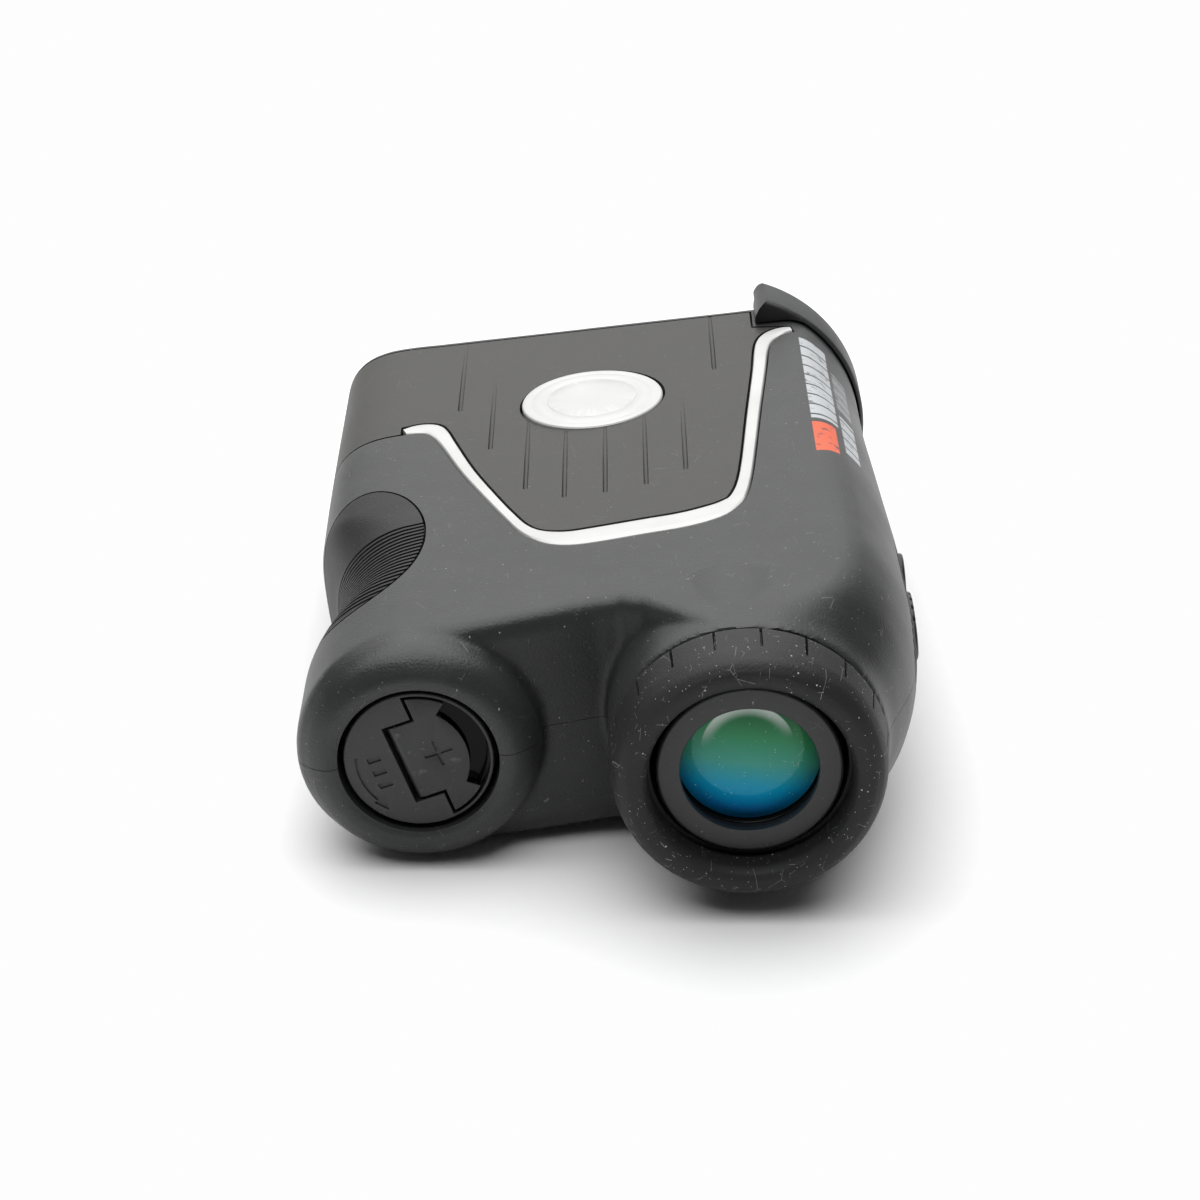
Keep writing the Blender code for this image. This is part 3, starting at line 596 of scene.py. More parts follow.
def clamp(value):
    return min(1.0, max(0.0, value))


def table(values, distance):
    """Reads a table of (distance, value) in millimetres on a smooth cubic and answers in metres."""
    d = min(values[-1][0], max(values[0][0], distance / MM))
    slopes = [(v1 - v0) / (d1 - d0) for (d0, v0), (d1, v1) in zip(values, values[1:])]
    bends = [slopes[0]]
    for before, after in zip(slopes, slopes[1:]):
        bends.append(0.0 if before * after <= 0 else 2 * before * after / (before + after))
    bends.append(slopes[-1])
    for i, ((d0, v0), (d1, v1)) in enumerate(zip(values, values[1:])):
        if d <= d1:
            width = d1 - d0
            t = (d - d0) / width
            smooth = t * t * (3 - 2 * t)
            lift = bends[i] * t * (1 - t) ** 2 - bends[i + 1] * t * t * (1 - t)
            return (v0 + (v1 - v0) * smooth + width * lift) * MM


def soft_min(a, b, blend=1.6 * MM):
    mix = clamp(0.5 + 0.5 * (b - a) / blend)
    return b + (a - b) * mix - blend * mix * (1 - mix)


def side_height(station, x):
    return HALF_THICKNESS + SIDE_SLOPE * x + table(THICKNESS_GAIN, station) * clamp(1 + x / BLEND_WIDTH)


def rear_set_back(x):
    """How far forward of the eyecup seam the body starts: the web and the lobe are set back."""
    slanted = 7.9 * MM + 0.181 * (x - LOBE_X)
    fade = clamp(-x / BLEND_WIDTH)
    return slanted * fade * fade * (3 - 2 * fade)


def edge_round(station, x):
    """Rounding of the rear and front edges, none where the eyepiece tube leaves."""
    at_rear = station < BODY_LENGTH / 2
    return table(EDGE_ROUND, station) * (clamp(-x / BLEND_WIDTH) if at_rear else 1.0)


def half_section(station, inset):
    """Points (x, z, x before rounding) from the device's top edge over the side to the underside."""
    points = []
    radius = table(TOP_RADIUS, station)
    for i in range(ARC_STEPS + 1):
        angle = math.radians(90) * i / ARC_STEPS
        x = radius * math.cos(angle)
        z = soft_min(radius * math.sin(angle), side_height(station, x))
        less = inset + edge_round(station, x)
        shrink = 1 - less / radius
        low_part = 2 * i <= ARC_STEPS
        points.append((x * shrink, z * shrink if low_part else z - less, x))
    flat_steps = 14
    for i in range(1, flat_steps):
        x = LOBE_X * i / flat_steps
        points.append((x, side_height(station, x) - inset - edge_round(station, x), x))
    power = table(CORNER_POWER, station) / MM
    less = inset + edge_round(station, LOBE_X)
    height = side_height(station, LOBE_X) - less
    for i in range(ARC_STEPS + 1):
        angle = math.radians(90) * i / ARC_STEPS
        x = LOBE_X - (LOBE_R - less) * math.sin(angle) ** (2 / power)
        z = height * max(0.0, math.cos(angle)) ** (2 / power)
        across = 1 - i / ARC_STEPS
        along = (station + rear_set_back(x) * 0.3 - GRIP_CENTRE[1]) / (GRIP_RADII[1] * 1.05)
        push = GRIP_DEPTH * max(0.0, 1 - across * across - along * along) ** 1.5
        points.append((x + push * math.sin(angle), z - push * math.cos(angle), x))
    return points


def body_form(name, inset=0.0, start=0.0, end=BODY_LENGTH, step=1.2 * MM):
    """The whole outer form as a closed grid, drawn in by inset."""
    count = round((end - start) / step)
    stations = [start + (end - start) * i / count for i in range(count + 1)]
    stations += [s * MM for s in (0.4, 0.9, 1.5, 2.2, 108.4, 109.2, 109.7) if start < s * MM < end]
    points, faces = [], []
    for station in sorted(stations):
        rear = max(0.0, 1 - station / (30 * MM))
        ring = [(x, station + rear_set_back(x0) * rear, z) for x, z, x0 in half_section(station, inset)]
        points += ring + [(x, y, -z) for x, y, z in ring[-2:0:-1]]
    around = 2 * len(ring) - 2
    rows = len(points) // around
    for row in range(rows - 1):
        for i in range(around):
            j = (i + 1) % around
            a, b = row * around, (row + 1) * around
            faces.append((a + i, a + j, b + j, b + i))
    for first in (0, (rows - 1) * around):
        for i in range(around // 2):
            corners = [first + i, first + i + 1, first + around - i - 1, first + (around - i) % around]
            faces.append(list(dict.fromkeys(corners)))
    return tidy_mesh(from_points(name, points, faces=faces))


# %% [markdown]
# The tube's end and the soft ring round the battery cap are turned, then all three are joined and
# remeshed with small cubes and smoothed. That melts the joins into the soft creases that a rubber
# moulding has. Everything crisp is cut afterwards.
# %% The outer form, melted together
VOXEL = 0.48 * MM

outer = body_form("outer")
tube_end = plug("tube_end", 18.0, 0.05, 18)
keep_inside(tube_end, block("tube_flat", (-30 * MM, -1 * MM, -18 * MM), (30 * MM, 30 * MM, 18 * MM)))
ring_outline = [(0, 12), (0, 4.4), (11.1, 4.4), (11.3, 4.0), (12.2, 4.0), (13.0, 4.3), (13.8, 4.8),
                (14.6, 5.4), (15.3, 6.3), (15.8, 7.4), (16.1, 8.6), (16.3, 12)]
cap_ring = turned("cap_ring", ring_outline, LOBE_X)
combine(outer, "UNION", tube_end, cap_ring)
modify(outer, "REMESH", mode="VOXEL", voxel_size=VOXEL)
modify(outer, "SMOOTH", factor=0.5, iterations=4)
print(f"outer form: {len(outer.data.polygons)} faces")

# %% [markdown]
# The two shells are the same form cut by the mid-plane. A cavity leaves a wall of 2 mm, bores
# take the eyepiece and the lenses, and shallow pockets take the panel, the trim, the grip rubber,
# the pad and the buttons. Each pocket's floor is the outer form drawn in, so the wall stays even.
# %% Outlines and pockets
# middle line of the silver trim with its width: (x, y, width), millimetres
TRIM_POINTS = [(-46.8, 75.2, 2.0), (-44.8, 75.8, 3.0), (-42.7, 75.2, 3.2), (-41.3, 72.9, 2.6),
               (-39.9, 68.9, 2.1), (-36.5, 58.1, 1.8), (-32.2, 46.9, 1.55), (-30.1, 41.8, 1.55),
               (-28.4, 38.0, 1.7), (-26.6, 35.4, 2.3), (-24.2, 33.6, 3.6), (-21.5, 32.8, 4.4),
               (-18.0, 33.0, 4.7), (-11.7, 33.9, 4.7), (-6.0, 34.7, 4.7), (-1.9, 36.2, 4.4),
               (0.4, 38.1, 3.2), (1.8, 40.6, 2.2), (3.2, 48.3, 1.8), (5.2, 69.0, 1.9),
               (6.7, 84.0, 2.0), (7.3, 91.0, 2.15), (7.9, 94.6, 2.4), (9.0, 97.0, 2.8),
               (10.6, 98.4, 2.6), (12.4, 98.9, 1.6)]
PANEL_FRONT = 107.5 * MM
PANEL_LOW = -62.0 * MM               # past the underside, so that the panel wraps round it
PANEL_REAR = 74.3 * MM
TRIM_END_X = -47.4 * MM
PANEL_TOP = 6.3 * MM
BADGE_CENTRE = (-18.6 * MM, 79.5 * MM)
BADGE_R = 10.6 * MM
PAD_CENTRE_Y = 37 * MM
PAD_RADII = (21 * MM, 6.2 * MM)
BUTTONS = (("power", 30 * MM, (6.5 * MM, 4.2 * MM)), ("mode", 45 * MM, (3.4 * MM, 3.4 * MM)))
SCREWS = [(-52.5, 66), (-24.0, 26), (15.5, 27), (-23.3, 92)]

trim_line = curve_through([tuple(value * MM for value in point) for point in TRIM_POINTS], 4)


def beside_trim(side, gap, extend=0.0):
    """The line beside the trim, gap away from its edge; side is 1 for the panel's side."""
    return beside(trim_line, lambda point: side * (point[2] / 2 + gap), extend)


recess_outline = beside_trim(-1, GAP, GAP) + [beside_trim(1, GAP, GAP)[-1]]
recess_outline += [(PANEL_TOP + GAP, 101.4 * MM), (PANEL_TOP + GAP, PANEL_FRONT + GAP),
                   (PANEL_LOW - GAP, PANEL_FRONT + GAP), (PANEL_LOW - GAP, PANEL_REAR - GAP)]
panel_outline = [(PANEL_LOW, PANEL_REAR), (TRIM_END_X, PANEL_REAR), (TRIM_END_X, 76.9 * MM)]
panel_outline += beside_trim(1, GAP)[3:-3]
panel_outline += [(PANEL_TOP, 101 * MM), (PANEL_TOP, PANEL_FRONT), (PANEL_LOW, PANEL_FRONT)]

floor_form = body_form("floor_form", SKIN + GAP)
skin_form = body_form("skin_form", SKIN)
cavity = body_form("cavity", WALL, 4.5 * MM, 106.3 * MM, 2 * MM)
bezel_pocket = body_form("bezel_pocket", 1.7 * MM, 104 * MM, 108.3 * MM, 1 * MM)
bezel_pocket.data.transform(Matrix.Translation((0, 3.8 * MM, 0)))


def along_x(name, y, radii, low, high):
    """Oval bar along X, centred on Z = 0."""
    return slab(name, oval((y, 0), radii), low, high, axis="X")


def grown(radii, amount):
    return tuple(radius + amount for radius in radii)


grip_hole = oval(GRIP_CENTRE, GRIP_RADII, 96, GAP)
grip_pocket = cut(slab("grip_pocket", grip_hole, -25 * MM, 25 * MM), floor_form)
pad_pocket = cut(along_x("pad_pocket", PAD_CENTRE_Y, grown(PAD_RADII, GAP), 15 * MM, 27 * MM), floor_form)
wells = [along_x(name + "_well", y, grown(radii, GAP), 15 * MM, 28 * MM) for name, y, radii in BUTTONS]
bores = [plug("bay_mouth", 10.65, 1, 18, LOBE_X),
         plug("eyepiece_bore", 14.8, -2, 20),
         plug("objective_bore", 14.6, 100, 115),
         plug("emitter_bore", 8.3, 100, 115, EMITTER_X)]
print(f"pockets: panel outline has {len(panel_outline)} points")

# %% [markdown]
# The shells stay plain rubber, cut in this order: half, cavity and bores, pockets, and last the
# bosses that the four screws go into.
# %% The two shells
HALF_SPLIT = 0.035 * MM              # the halves close so well that the seam hardly shows


def upright(name, x, y, radius, low, high, steps=32):
    return slab(name, oval((x, y), (radius, radius), steps), low, high)


def between(sign, low, high):
    return sorted((sign * low, sign * high))


shells = {}
for side, sign in (("left", 1), ("right", -1)):
    shell = copy_of(outer, side + "_armour")
    low, high = between(sign, HALF_SPLIT, 30 * MM)
    keep_inside(shell, block("half_space", (-80 * MM, -20 * MM, low), (40 * MM, 130 * MM, high)))
    cut(shell, cavity, bezel_pocket, *bores)
    low, high = between(sign, -1 * MM, 25 * MM)
    recess = cut(slab("panel_recess", recess_outline, low, high), floor_form)
    cut(shell, recess, grip_pocket, pad_pocket, *wells)
    for number, (x, y) in enumerate(SCREWS, 1):
        x, y = x * MM, y * MM
        reach = side_height(BODY_LENGTH / 2, x) - 1.9 * MM
        combine(shell, "UNION", upright("boss", x, y, 2.4 * MM, *between(sign, HALF_SPLIT, reach)))
        if side == "left":
            cut(shell, upright("pilot", x, y, 1.2 * MM, -1 * MM, 7 * MM))
        else:
            cut(shell, upright("shank_hole", x, y, 1.3 * MM, -25 * MM, 1 * MM),
                upright("head_hole", x, y, 2.1 * MM, -25 * MM, -13.4 * MM))
    shells[side] = shell
for side, skin in (("left", printed_rubber), ("right", armour_rubber)):
    finish_piece(shells[side], "root", "rubber_armour", skin, side + "_body_shell")

# %% [markdown]
# Each side panel is a thin plate that follows the body's side and wraps round the underside. Eight
# narrow grooves run forward over it. A round-nosed cutter makes them, so their near ends are round,
# and it comes up as it goes, so they fade.
# %% Side panels
GROOVES = [(-38.7, 80.6), (-33.6, 65.3), (-28.1, 50.0), (-22.5, 45.9), (-16.7, 46.0), (-10.9, 47.2),
           (-5.2, 50.8), (0.0, 85.9)]
GROOVE_R = 0.36
GROOVE_DEPTH = 0.45
GROOVE_RISE = math.radians(0.9)      # the cutter comes up towards the front, so the groove fades


def nosed_cutter(x, y_near, sign):
    """A round-nosed bar along Y, sunk into the side at its near end."""
    angles = [math.radians(a) for a in range(0, 91, 15)]
    nose = [(GROOVE_R * math.sin(a), GROOVE_R * (1 - math.cos(a))) for a in angles]
    bar = turned("groove_cutter", nose + [(GROOVE_R, 120 - y_near), (0, 120 - y_near)], steps=32)
    height = side_height(BODY_LENGTH / 2, x * MM) + (GROOVE_R - GROOVE_DEPTH) * MM
    bar.data.transform(Matrix.Translation((x * MM, y_near * MM, sign * height))
                       @ Matrix.Rotation(sign * GROOVE_RISE, 4, "X"))
    return bar


for side, sign in (("left", 1), ("right", -1)):
    low, high = between(sign, HALF_SPLIT, 25 * MM)
    panel = keep_inside(slab(side + "_panel", panel_outline, low, high), outer)
    badge_hole = oval(BADGE_CENTRE, (BADGE_R, BADGE_R), 96, 0.4 * MM)
    cut(panel, skin_form, slab("badge_hole", badge_hole, low, high))
    for x, y in GROOVES:
        cut(panel, nosed_cutter(x, y, sign))
    finish_piece(panel, "root", "panel_plastic", panel_plastic, side + "_side_panel")

# %% [markdown]
# The silver trim is a band that stands a little proud of the panel. One cross-section with rounded
# shoulders is laid across the trim line at each of its points, as wide as the line says there.
# %% Trims
def ribbon(name, line, height_at, sign):
    """A band along the trim line: flat below, with its top edges rounded over."""
    across = [(-1.0, 0.0), (-1.0, 0.62), (-0.94, 0.84), (-0.80, 0.96), (-0.5, 1.0), (0.0, 1.0), (0.5, 1.0),
              (0.80, 0.96), (0.94, 0.84), (1.0, 0.62), (1.0, 0.0)]
    points, faces = [], []
    strips = [beside(line, lambda point: point[2] / 2 * place) for place, _ in across]
    for i in range(len(line)):
        for (_, rise), strip in zip(across, strips):
            x, y = strip[i]
            low, high = height_at(x, y, -SKIN + 0.05 * MM), height_at(x, y, 0.12 * MM)
            points.append((x, y, sign * (low + (high - low) * rise)))
    width = len(across)
    for row in range(len(line) - 1):
        for i in range(width):
            j = (i + 1) % width
            faces.append((row * width + i, row * width + j, (row + 1) * width + j, (row + 1) * width + i))
    faces += [range(width), range((len(line) - 1) * width, len(line) * width)]
    return tidy_mesh(from_points(name, points, faces=faces))


def trim_height(x, y, lift):
    """Height of the body's side under the trim, also where it turns over towards the top."""
    radius = table(TOP_RADIUS, y)
    round_part = math.sqrt(max(0.0, radius * radius - max(0.0, x) ** 2))
    return soft_min(round_part, side_height(y, x)) + lift


for side, sign in (("left", 1), ("right", -1)):
    band = ribbon(side + "_band", trim_line, trim_height, sign)
    finish_piece(band, "root", "satin_silver", satin_silver, side + "_trim")

# %% [markdown]
# The badge is a low silver dome in the middle of the panel. It is left plain, with a raised rim
# and two fine engraved rings.
# %% Badges
badge_base = side_height(BODY_LENGTH / 2, BADGE_CENTRE[0]) / MM
badge_outline = [(0, badge_base - 1.2), (10.6, badge_base - 1.2), (10.6, badge_base + 0.05),
                 (10.45, badge_base + 0.25), (10.1, badge_base + 0.36), (9.5, badge_base + 0.38),
                 (9.25, badge_base + 0.30), (9.1, badge_base + 0.30), (8.9, badge_base + 0.40),
                 (7.2, badge_base + 0.46), (7.05, badge_base + 0.38), (6.85, badge_base + 0.38),
                 (6.7, badge_base + 0.48), (4, badge_base + 0.56), (0, badge_base + 0.6)]
for side, sign in (("left", 1), ("right", -1)):
    badge = turned(side + "_dome", badge_outline, steps=128)
    upright_turn = Matrix.Rotation(sign * math.radians(90), 4, "X")
    badge.data.transform(Matrix.Translation((*BADGE_CENTRE, 0)) @ upright_turn)
    finish_piece(badge, "root", "satin_silver", satin_silver, side + "_badge")

# %% [markdown]
# The finger grip is a saddle of soft rubber round the underside. Its rear part carries fine ribs
# that run round the finger; each is a thin arc of rubber left standing between two shallow cuts.
# %% Finger grip
RIB_PITCH = 1.05
RIB_CUT = 0.5
RIB_DEPTH = 0.4

grip = keep_inside(slab("grip_saddle", oval(GRIP_CENTRE, GRIP_RADII, 96), -25 * MM, 25 * MM), outer)
cut(grip, skin_form)
rib_floor = body_form("rib_floor", RIB_DEPTH * MM)
for i in range(19):
    y = 22.5 + RIB_PITCH * i
    lower = [(x, y + 0.02 * (x + 46) ** 2 + 0.16 * (x + 46)) for x in range(-66, -40, 2)]
    upper = [(x, line_y + RIB_CUT) for x, line_y in reversed(lower)]
    notch = slab("rib_notch", [(x * MM, line_y * MM) for x, line_y in lower + upper], -25 * MM, 25 * MM)
    cut(notch, rib_floor)
    cut(grip, notch)
finish_piece(grip, "root", "soft_rubber", grip_rubber, "finger_grip")

# %% [markdown]
# The pad under the buttons is soft rubber too. The power button has raised bars so that a finger
# finds it; the mode button is a plain round key.
# %% Top pad and buttons
pad = keep_inside(along_x("button_pad", PAD_CENTRE_Y, PAD_RADII, 15 * MM, 27 * MM), outer)
cut(pad, skin_form, *wells)
pad_floor = body_form("pad_floor", 0.45 * MM)
for i in range(24):
    y = (PAD_CENTRE_Y - PAD_RADII[0]) / MM + 1.5 + 1.7 * i
    notch = block("pad_notch", (15 * MM, y * MM, -12 * MM), (27 * MM, (y + 0.8) * MM, 12 * MM))
    cut(notch, pad_floor)
    cut(pad, notch)
finish_piece(pad, "root", "soft_rubber", grip_rubber, "top_pad")

for name, y, radii in BUTTONS:
    key = ease_edges(along_x(name + "_key", y, radii, 19.4 * MM, 24.2 * MM), 0.45 * MM, 4)
    if name == "power":
        for offset in (-4, -2, 0, 2, 4):
            cut(key, block("key_groove", (23.8 * MM, y + (offset - 0.4) * MM, -6 * MM),
                           (26 * MM, y + (offset + 0.4) * MM, 6 * MM)))
    finish_piece(key, name + "_button", "black_plastic", button_plastic, name + "_button")

# %% [markdown]
# The hood is a thick rubber collar over the top half of the front end. It is turned with a large
# round on its front edge and then cut to sit on the body.
# %% Front hood and bezel
HOOD_R, HOOD_BACK, HOOD_FRONT, HOOD_EDGE = 22.9, 102.0, 112.0, 2.6
hood_outline = [(0, HOOD_BACK), (HOOD_R - 0.9, HOOD_BACK), (HOOD_R - 0.45, HOOD_BACK + 0.12),
                (HOOD_R - 0.12, HOOD_BACK + 0.45), (HOOD_R, HOOD_BACK + 0.9)]
for i in range(13):
    angle = math.radians(90) * i / 12
    hood_outline.append((HOOD_R - HOOD_EDGE * (1 - math.cos(angle)),
                         HOOD_FRONT - HOOD_EDGE * (1 - math.sin(angle))))
hood = turned("rubber_hood", hood_outline + [(0, HOOD_FRONT)], steps=160)
turns = [math.radians(a) for a in range(0, 91, 9)]
corner = [(11.5 - 4.5 * math.cos(turn), 17.5 + 4.2 * math.sin(turn)) for turn in turns]
round_ends = [(x, -z) for x, z in reversed(corner)] + corner + [(30, 25), (30, -25)]
keep_inside(hood, slab("round_ends", in_metres(round_ends), 100 * MM, 115 * MM, axis="Y"))
cut(hood, body_form("hood_clear", -GAP),
    plug("hood_bore", 20.2, 109, 115))
finish_piece(hood, "root", "rubber_armour", armour_rubber, "front_hood")
# Faces that look back towards the eyepiece get the darker inside finish, so the hood's rear face is darker
# than its top.
hood.data.materials.append(dark_inside)
for face in hood.data.polygons:
    if face.normal.y < -0.75:
        face.material_index = 1

bezel_room = body_form("bezel_room", 2.0 * MM, 60 * MM, 108 * MM)
bezel_room.data.transform(Matrix.Translation((0, 10 * MM, 0)))
front_plate = block("front_plate", (-70 * MM, 108.1 * MM, -20 * MM), (30 * MM, 109.7 * MM, 20 * MM))
keep_inside(front_plate, bezel_room)
cut(front_plate, plug("lens_hole", 13.2, 100, 115),
    plug("emitter_hole", 7.9, 100, 115, EMITTER_X))
finish_piece(front_plate, "root", "black_plastic", bezel_plastic, "front_bezel")

# %% [markdown]
# The eyecup is a soft turned ring. Where it meets the tube, short moulded ticks are sunk round its
# edge; they show how far the eyepiece has been turned.
# %% Eyecup
cup_outline = [(18.15, -0.3), (14.5, -0.3), (14.5, -4.2), (13.1, -4.2), (13.1, -7.4), (13.6, -8.4),
               (14.6, -8.8), (15.8, -8.7), (17.0, -7.6), (17.6, -5.8), (17.9, -3.0)]
cup = turned("soft_cup", rounded(cup_outline, 0.9, 5), steps=144)
TICKS = 19
for i in range(TICKS):
    angle = math.tau * i / TICKS - math.radians(4.8)
    tick = block("tick", (17.3 * MM, -4.8 * MM, -0.17 * MM), (18.6 * MM, -0.2 * MM, 0.17 * MM))
    tick.data.transform(Matrix.Rotation(angle, 4, "Y"))
    cut(cup, tick)
    drop(tick)
finish_piece(cup, "dioptre", "soft_rubber", eyecup_rubber, "eyecup")

# %% [markdown]
# Inside the eyecup sit the turned pieces of the eyepiece: the guide ring it turns on, the barrel,
# a satin bezel, the lens that the eye looks into and a second lens behind it. One loop turns them,
# and every round piece of the battery bay and of the front end, from their outlines.
# %% Turned pieces
TURNED = [
    ("guide_ring", "dioptre_ring", "dioptre", "black_plastic", dark_inside, 0, 0.2,
     [(14.2, -3.9), (14.2, 9), (12.7, 9), (12.7, -3.9)]),
    ("eye_bezel", "lens_bezel", "eyepiece_cell", "black_plastic", bezel_plastic, 0, 0.18,
     [(8.9, -5.3), (11.7, -5.3), (12, -5), (12, -2.3), (9.6, -2.3), (9.6, -3.6), (8.9, -4.4)]),
    ("barrel", "eyepiece_barrel", "eyepiece_cell", "black_metal", black_anodised, 0, 0.15,
     [(12, -2), (12, 22), (8.6, 22), (8.6, 1.7), (9.6, 1.7), (9.6, -2)]),
    ("battery_sleeve", "battery_tube", "root", "black_plastic", dark_inside, LOBE_X, 0.2,
     [(10.2, 12.6), (10.2, 50.4), (0, 50.4), (0, 49.2), (8.9, 49.2), (8.9, 12.6)]),
    ("rear_contact", "contact_plate", "root", "gold_plate", gold_plating, LOBE_X, 0.1,
     [(0, 48.4), (8.2, 48.4), (8.2, 48.9), (0, 48.9)]),
    ("lens_cell", "objective_cell", "root", "black_metal", black_anodised, 0, 0.2,
     [(14.2, 69), (14.2, 105.4), (12.5, 105.4), (12.5, 95.5), (11.4, 95.5), (11.4, 69)]),
    ("lens_ring", "retaining_ring", "root", "black_metal", black_anodised, 0, 0.12,
     [(12.2, 101.9), (12.2, 103.4), (11.2, 103.4), (11.2, 101.9)]),
    ("emitter_barrel", "laser_barrel", "root", "black_metal", black_anodised, EMITTER_X, 0.15,
     [(8, 72), (8, 106), (6.9, 106), (6.9, 73.2), (3.2, 73.2), (3.2, 72)]),
    ("emitter_diode", "laser_diode", "root", "gold_plate", gold_plating, EMITTER_X, 0.1,
     [(0, 69), (4.4, 69), (4.4, 70.4), (2.7, 70.4), (2.7, 74.6), (0, 74.6)]),
]
for name, node, body, slot, material, axis_x, edge, outline in TURNED:
    finish_piece(turned(name, rounded(outline, edge), axis_x), body, slot, material, node)

seal_outline = [(9.75 + 0.55 * math.cos(math.tau * i / 24), 8.3 + 0.55 * math.sin(math.tau * i / 24))
                for i in range(24)]
bay_seal = turned("bay_seal", seal_outline, LOBE_X)
finish_piece(bay_seal, "cap_carrier", "soft_rubber", grip_rubber, "cap_seal")
print(f"{len(TURNED) + 1} turned pieces")

# %% [markdown]
# A lens surface is a slice of a sphere. The outline follows that arc with many short steps, so
# that the reflection of the lamp runs smoothly over it.
# %% Lenses
def lens_outline(radius, back, back_sag, front, front_sag, steps=14):
    """Rim at back and front, each side bulging by its sag at the middle."""
    rear = [(radius * i / steps, back - back_sag * (1 - (i / steps) ** 2)) for i in range(steps + 1)]
    fore = [(radius * i / steps, front + front_sag * (1 - (i / steps) ** 2)) for i in range(steps, -1, -1)]
    return rear + fore


LENSES = [
    ("ocular", "eye_lens", "eyepiece_cell", eye_coating, 0, (9.3, -1.4, 1.5, 1.4, 0.0)),
    ("field_glass", "field_lens", "eyepiece_cell", front_coating, 0, (8.3, 14.4, 1.2, 17.2, 1.4)),
    ("objective", "objective_lens", "root", front_coating, 0, (12.2, 96.0, 1.0, 99.4, 2.2)),
    ("emitter_window", "emitter_lens", "root", front_coating, EMITTER_X, (6.6, 102.0, 0.0, 103.4, 1.2)),
]
for name, node, body, material, axis_x, sizes in LENSES:
    finish_piece(turned(name, lens_outline(*sizes), axis_x, 128), body, "lens_glass", material, node)

# %% [markdown]
# The cap is a disc with a folding tab let into its face. A pin through both is what the tab folds
# on. Everything here is modelled about the cap's own axis and then turned by the few degrees that
# the cap stands at.
# %% Battery cap
CAP_TURN = math.radians(-15.1)
CAP_R = 9.9
CAP_FACE_Y = 5.0
CHORD_X = 1.6
TONGUE_X = -2.4
TONGUE_HALF = 5.5
TAB_THICK = 2.2
TAB_AXIS = (TONGUE_X + TAB_THICK / 2, CAP_FACE_Y + TAB_THICK / 2)
CAP_PLACE = Matrix.Translation((LOBE_X, 0, 0)) @ Matrix.Rotation(CAP_TURN, 4, "Y")


def arc(radius, start, end, steps, centre_x=0.0):
    """Points in X and Z on a circle, from one angle in degrees to another."""
    points = []
    for i in range(steps + 1):
        angle = math.radians(start + (end - start) * i / steps)
        points.append((centre_x + radius * math.cos(angle), radius * math.sin(angle)))
    return points


def face_slab(name, outline, low, high):
    """A slab between two Y values in millimetres over an outline in the cap's X and Z."""
    return slab(name, in_metres(outline), low * MM, high * MM, axis="Y")


def tab_outline(grow):
    """Chord, tongue and rim of the folding tab; grow widens it into its pocket."""
    rim = CAP_R - 0.9 + grow
    chord = CHORD_X - grow
    half = TONGUE_HALF + grow
    end = TONGUE_X - grow
    start = math.degrees(math.acos(chord / rim))
    return arc(rim, start, -start, 48) + [(chord, -half), (end, -half), (end, half), (chord, half)]


def pin_bar(name, radius, half_length):
    x, y = in_metres([TAB_AXIS])[0]
    return upright(name, x, y, radius * MM, -half_length * MM, half_length * MM)


cap = turned("bay_cap", rounded([(0, 5.0), (9.9, 5.0), (9.9, 9.6), (0, 9.6)], 0.35), steps=144)
cut(cap, face_slab("tab_pocket", tab_outline(0.42), 4, CAP_FACE_Y + TAB_THICK + 0.3),
    pin_bar("pin_hole", 0.65, 6.9),
    turned("seal_groove", [(9.0, 7.6), (11, 7.6), (11, 9.0), (9.0, 9.0)]))
ENGRAVED = CAP_FACE_Y + 0.22
sweep = arc(8.35, 158, 212, 24) + arc(8.0, 212, 158, 24)
head = [(-6.55, -5.75), (-7.95, -4.0), (-6.2, -3.5)]
cut(cap, face_slab("turn_arc", sweep, 4, ENGRAVED), face_slab("turn_head", head, 4, ENGRAVED))
for z in (-2.4, -0.4, 1.6):
    cut(cap, face_slab("turn_bar", [(-6.4, z), (-4.6, z), (-4.6, z + 0.8), (-6.4, z + 0.8)], 4, ENGRAVED))
cap.data.transform(CAP_PLACE)
finish_piece(cap, "cap", "black_plastic", cap_plastic, "battery_cap")

# %% [markdown]
# The tab has a fingernail recess along the rim, as glossy as the mould that made it, and a plus
# sign for the battery's pole. Its inner end is round, so that it can swing in its pocket. The recess
# is painted almost black and its reflection weakened: painted shade in the hollow.
# %% Folding tab
NAIL_DEPTH = 1.6
tab = face_slab("folding_tab", tab_outline(0), CAP_FACE_Y, CAP_FACE_Y + TAB_THICK)
knuckle = []
for i in range(17):
    angle = math.radians(90 + 180 * i / 16)
    knuckle.append((TAB_AXIS[0] + TAB_THICK / 2 * math.cos(angle),
                    TAB_AXIS[1] + TAB_THICK / 2 * math.sin(angle)))
knuckle += [(12, CAP_FACE_Y), (12, CAP_FACE_Y + TAB_THICK)]
keep_inside(tab, slab("knuckle", in_metres(knuckle), -12 * MM, 12 * MM))
nail_outline = arc(10.5, -46, 46, 32) + arc(8.1, 41, -41, 32, -1.5)
plus = [(0.2, 0.2), (0.2, 1.9), (-0.2, 1.9), (-0.2, 0.2), (-1.9, 0.2), (-1.9, -0.2), (-0.2, -0.2),
        (-0.2, -1.9), (0.2, -1.9), (0.2, -0.2), (1.9, -0.2), (1.9, 0.2)]
cut(tab, pin_bar("tab_bore", 0.65, 12), face_slab("nail", nail_outline, 4, CAP_FACE_Y + NAIL_DEPTH),
    face_slab("plus", [(2.8 + x, z) for x, z in plus], 4, ENGRAVED))
ease_edges(tab, 0.12 * MM, 2, 50)
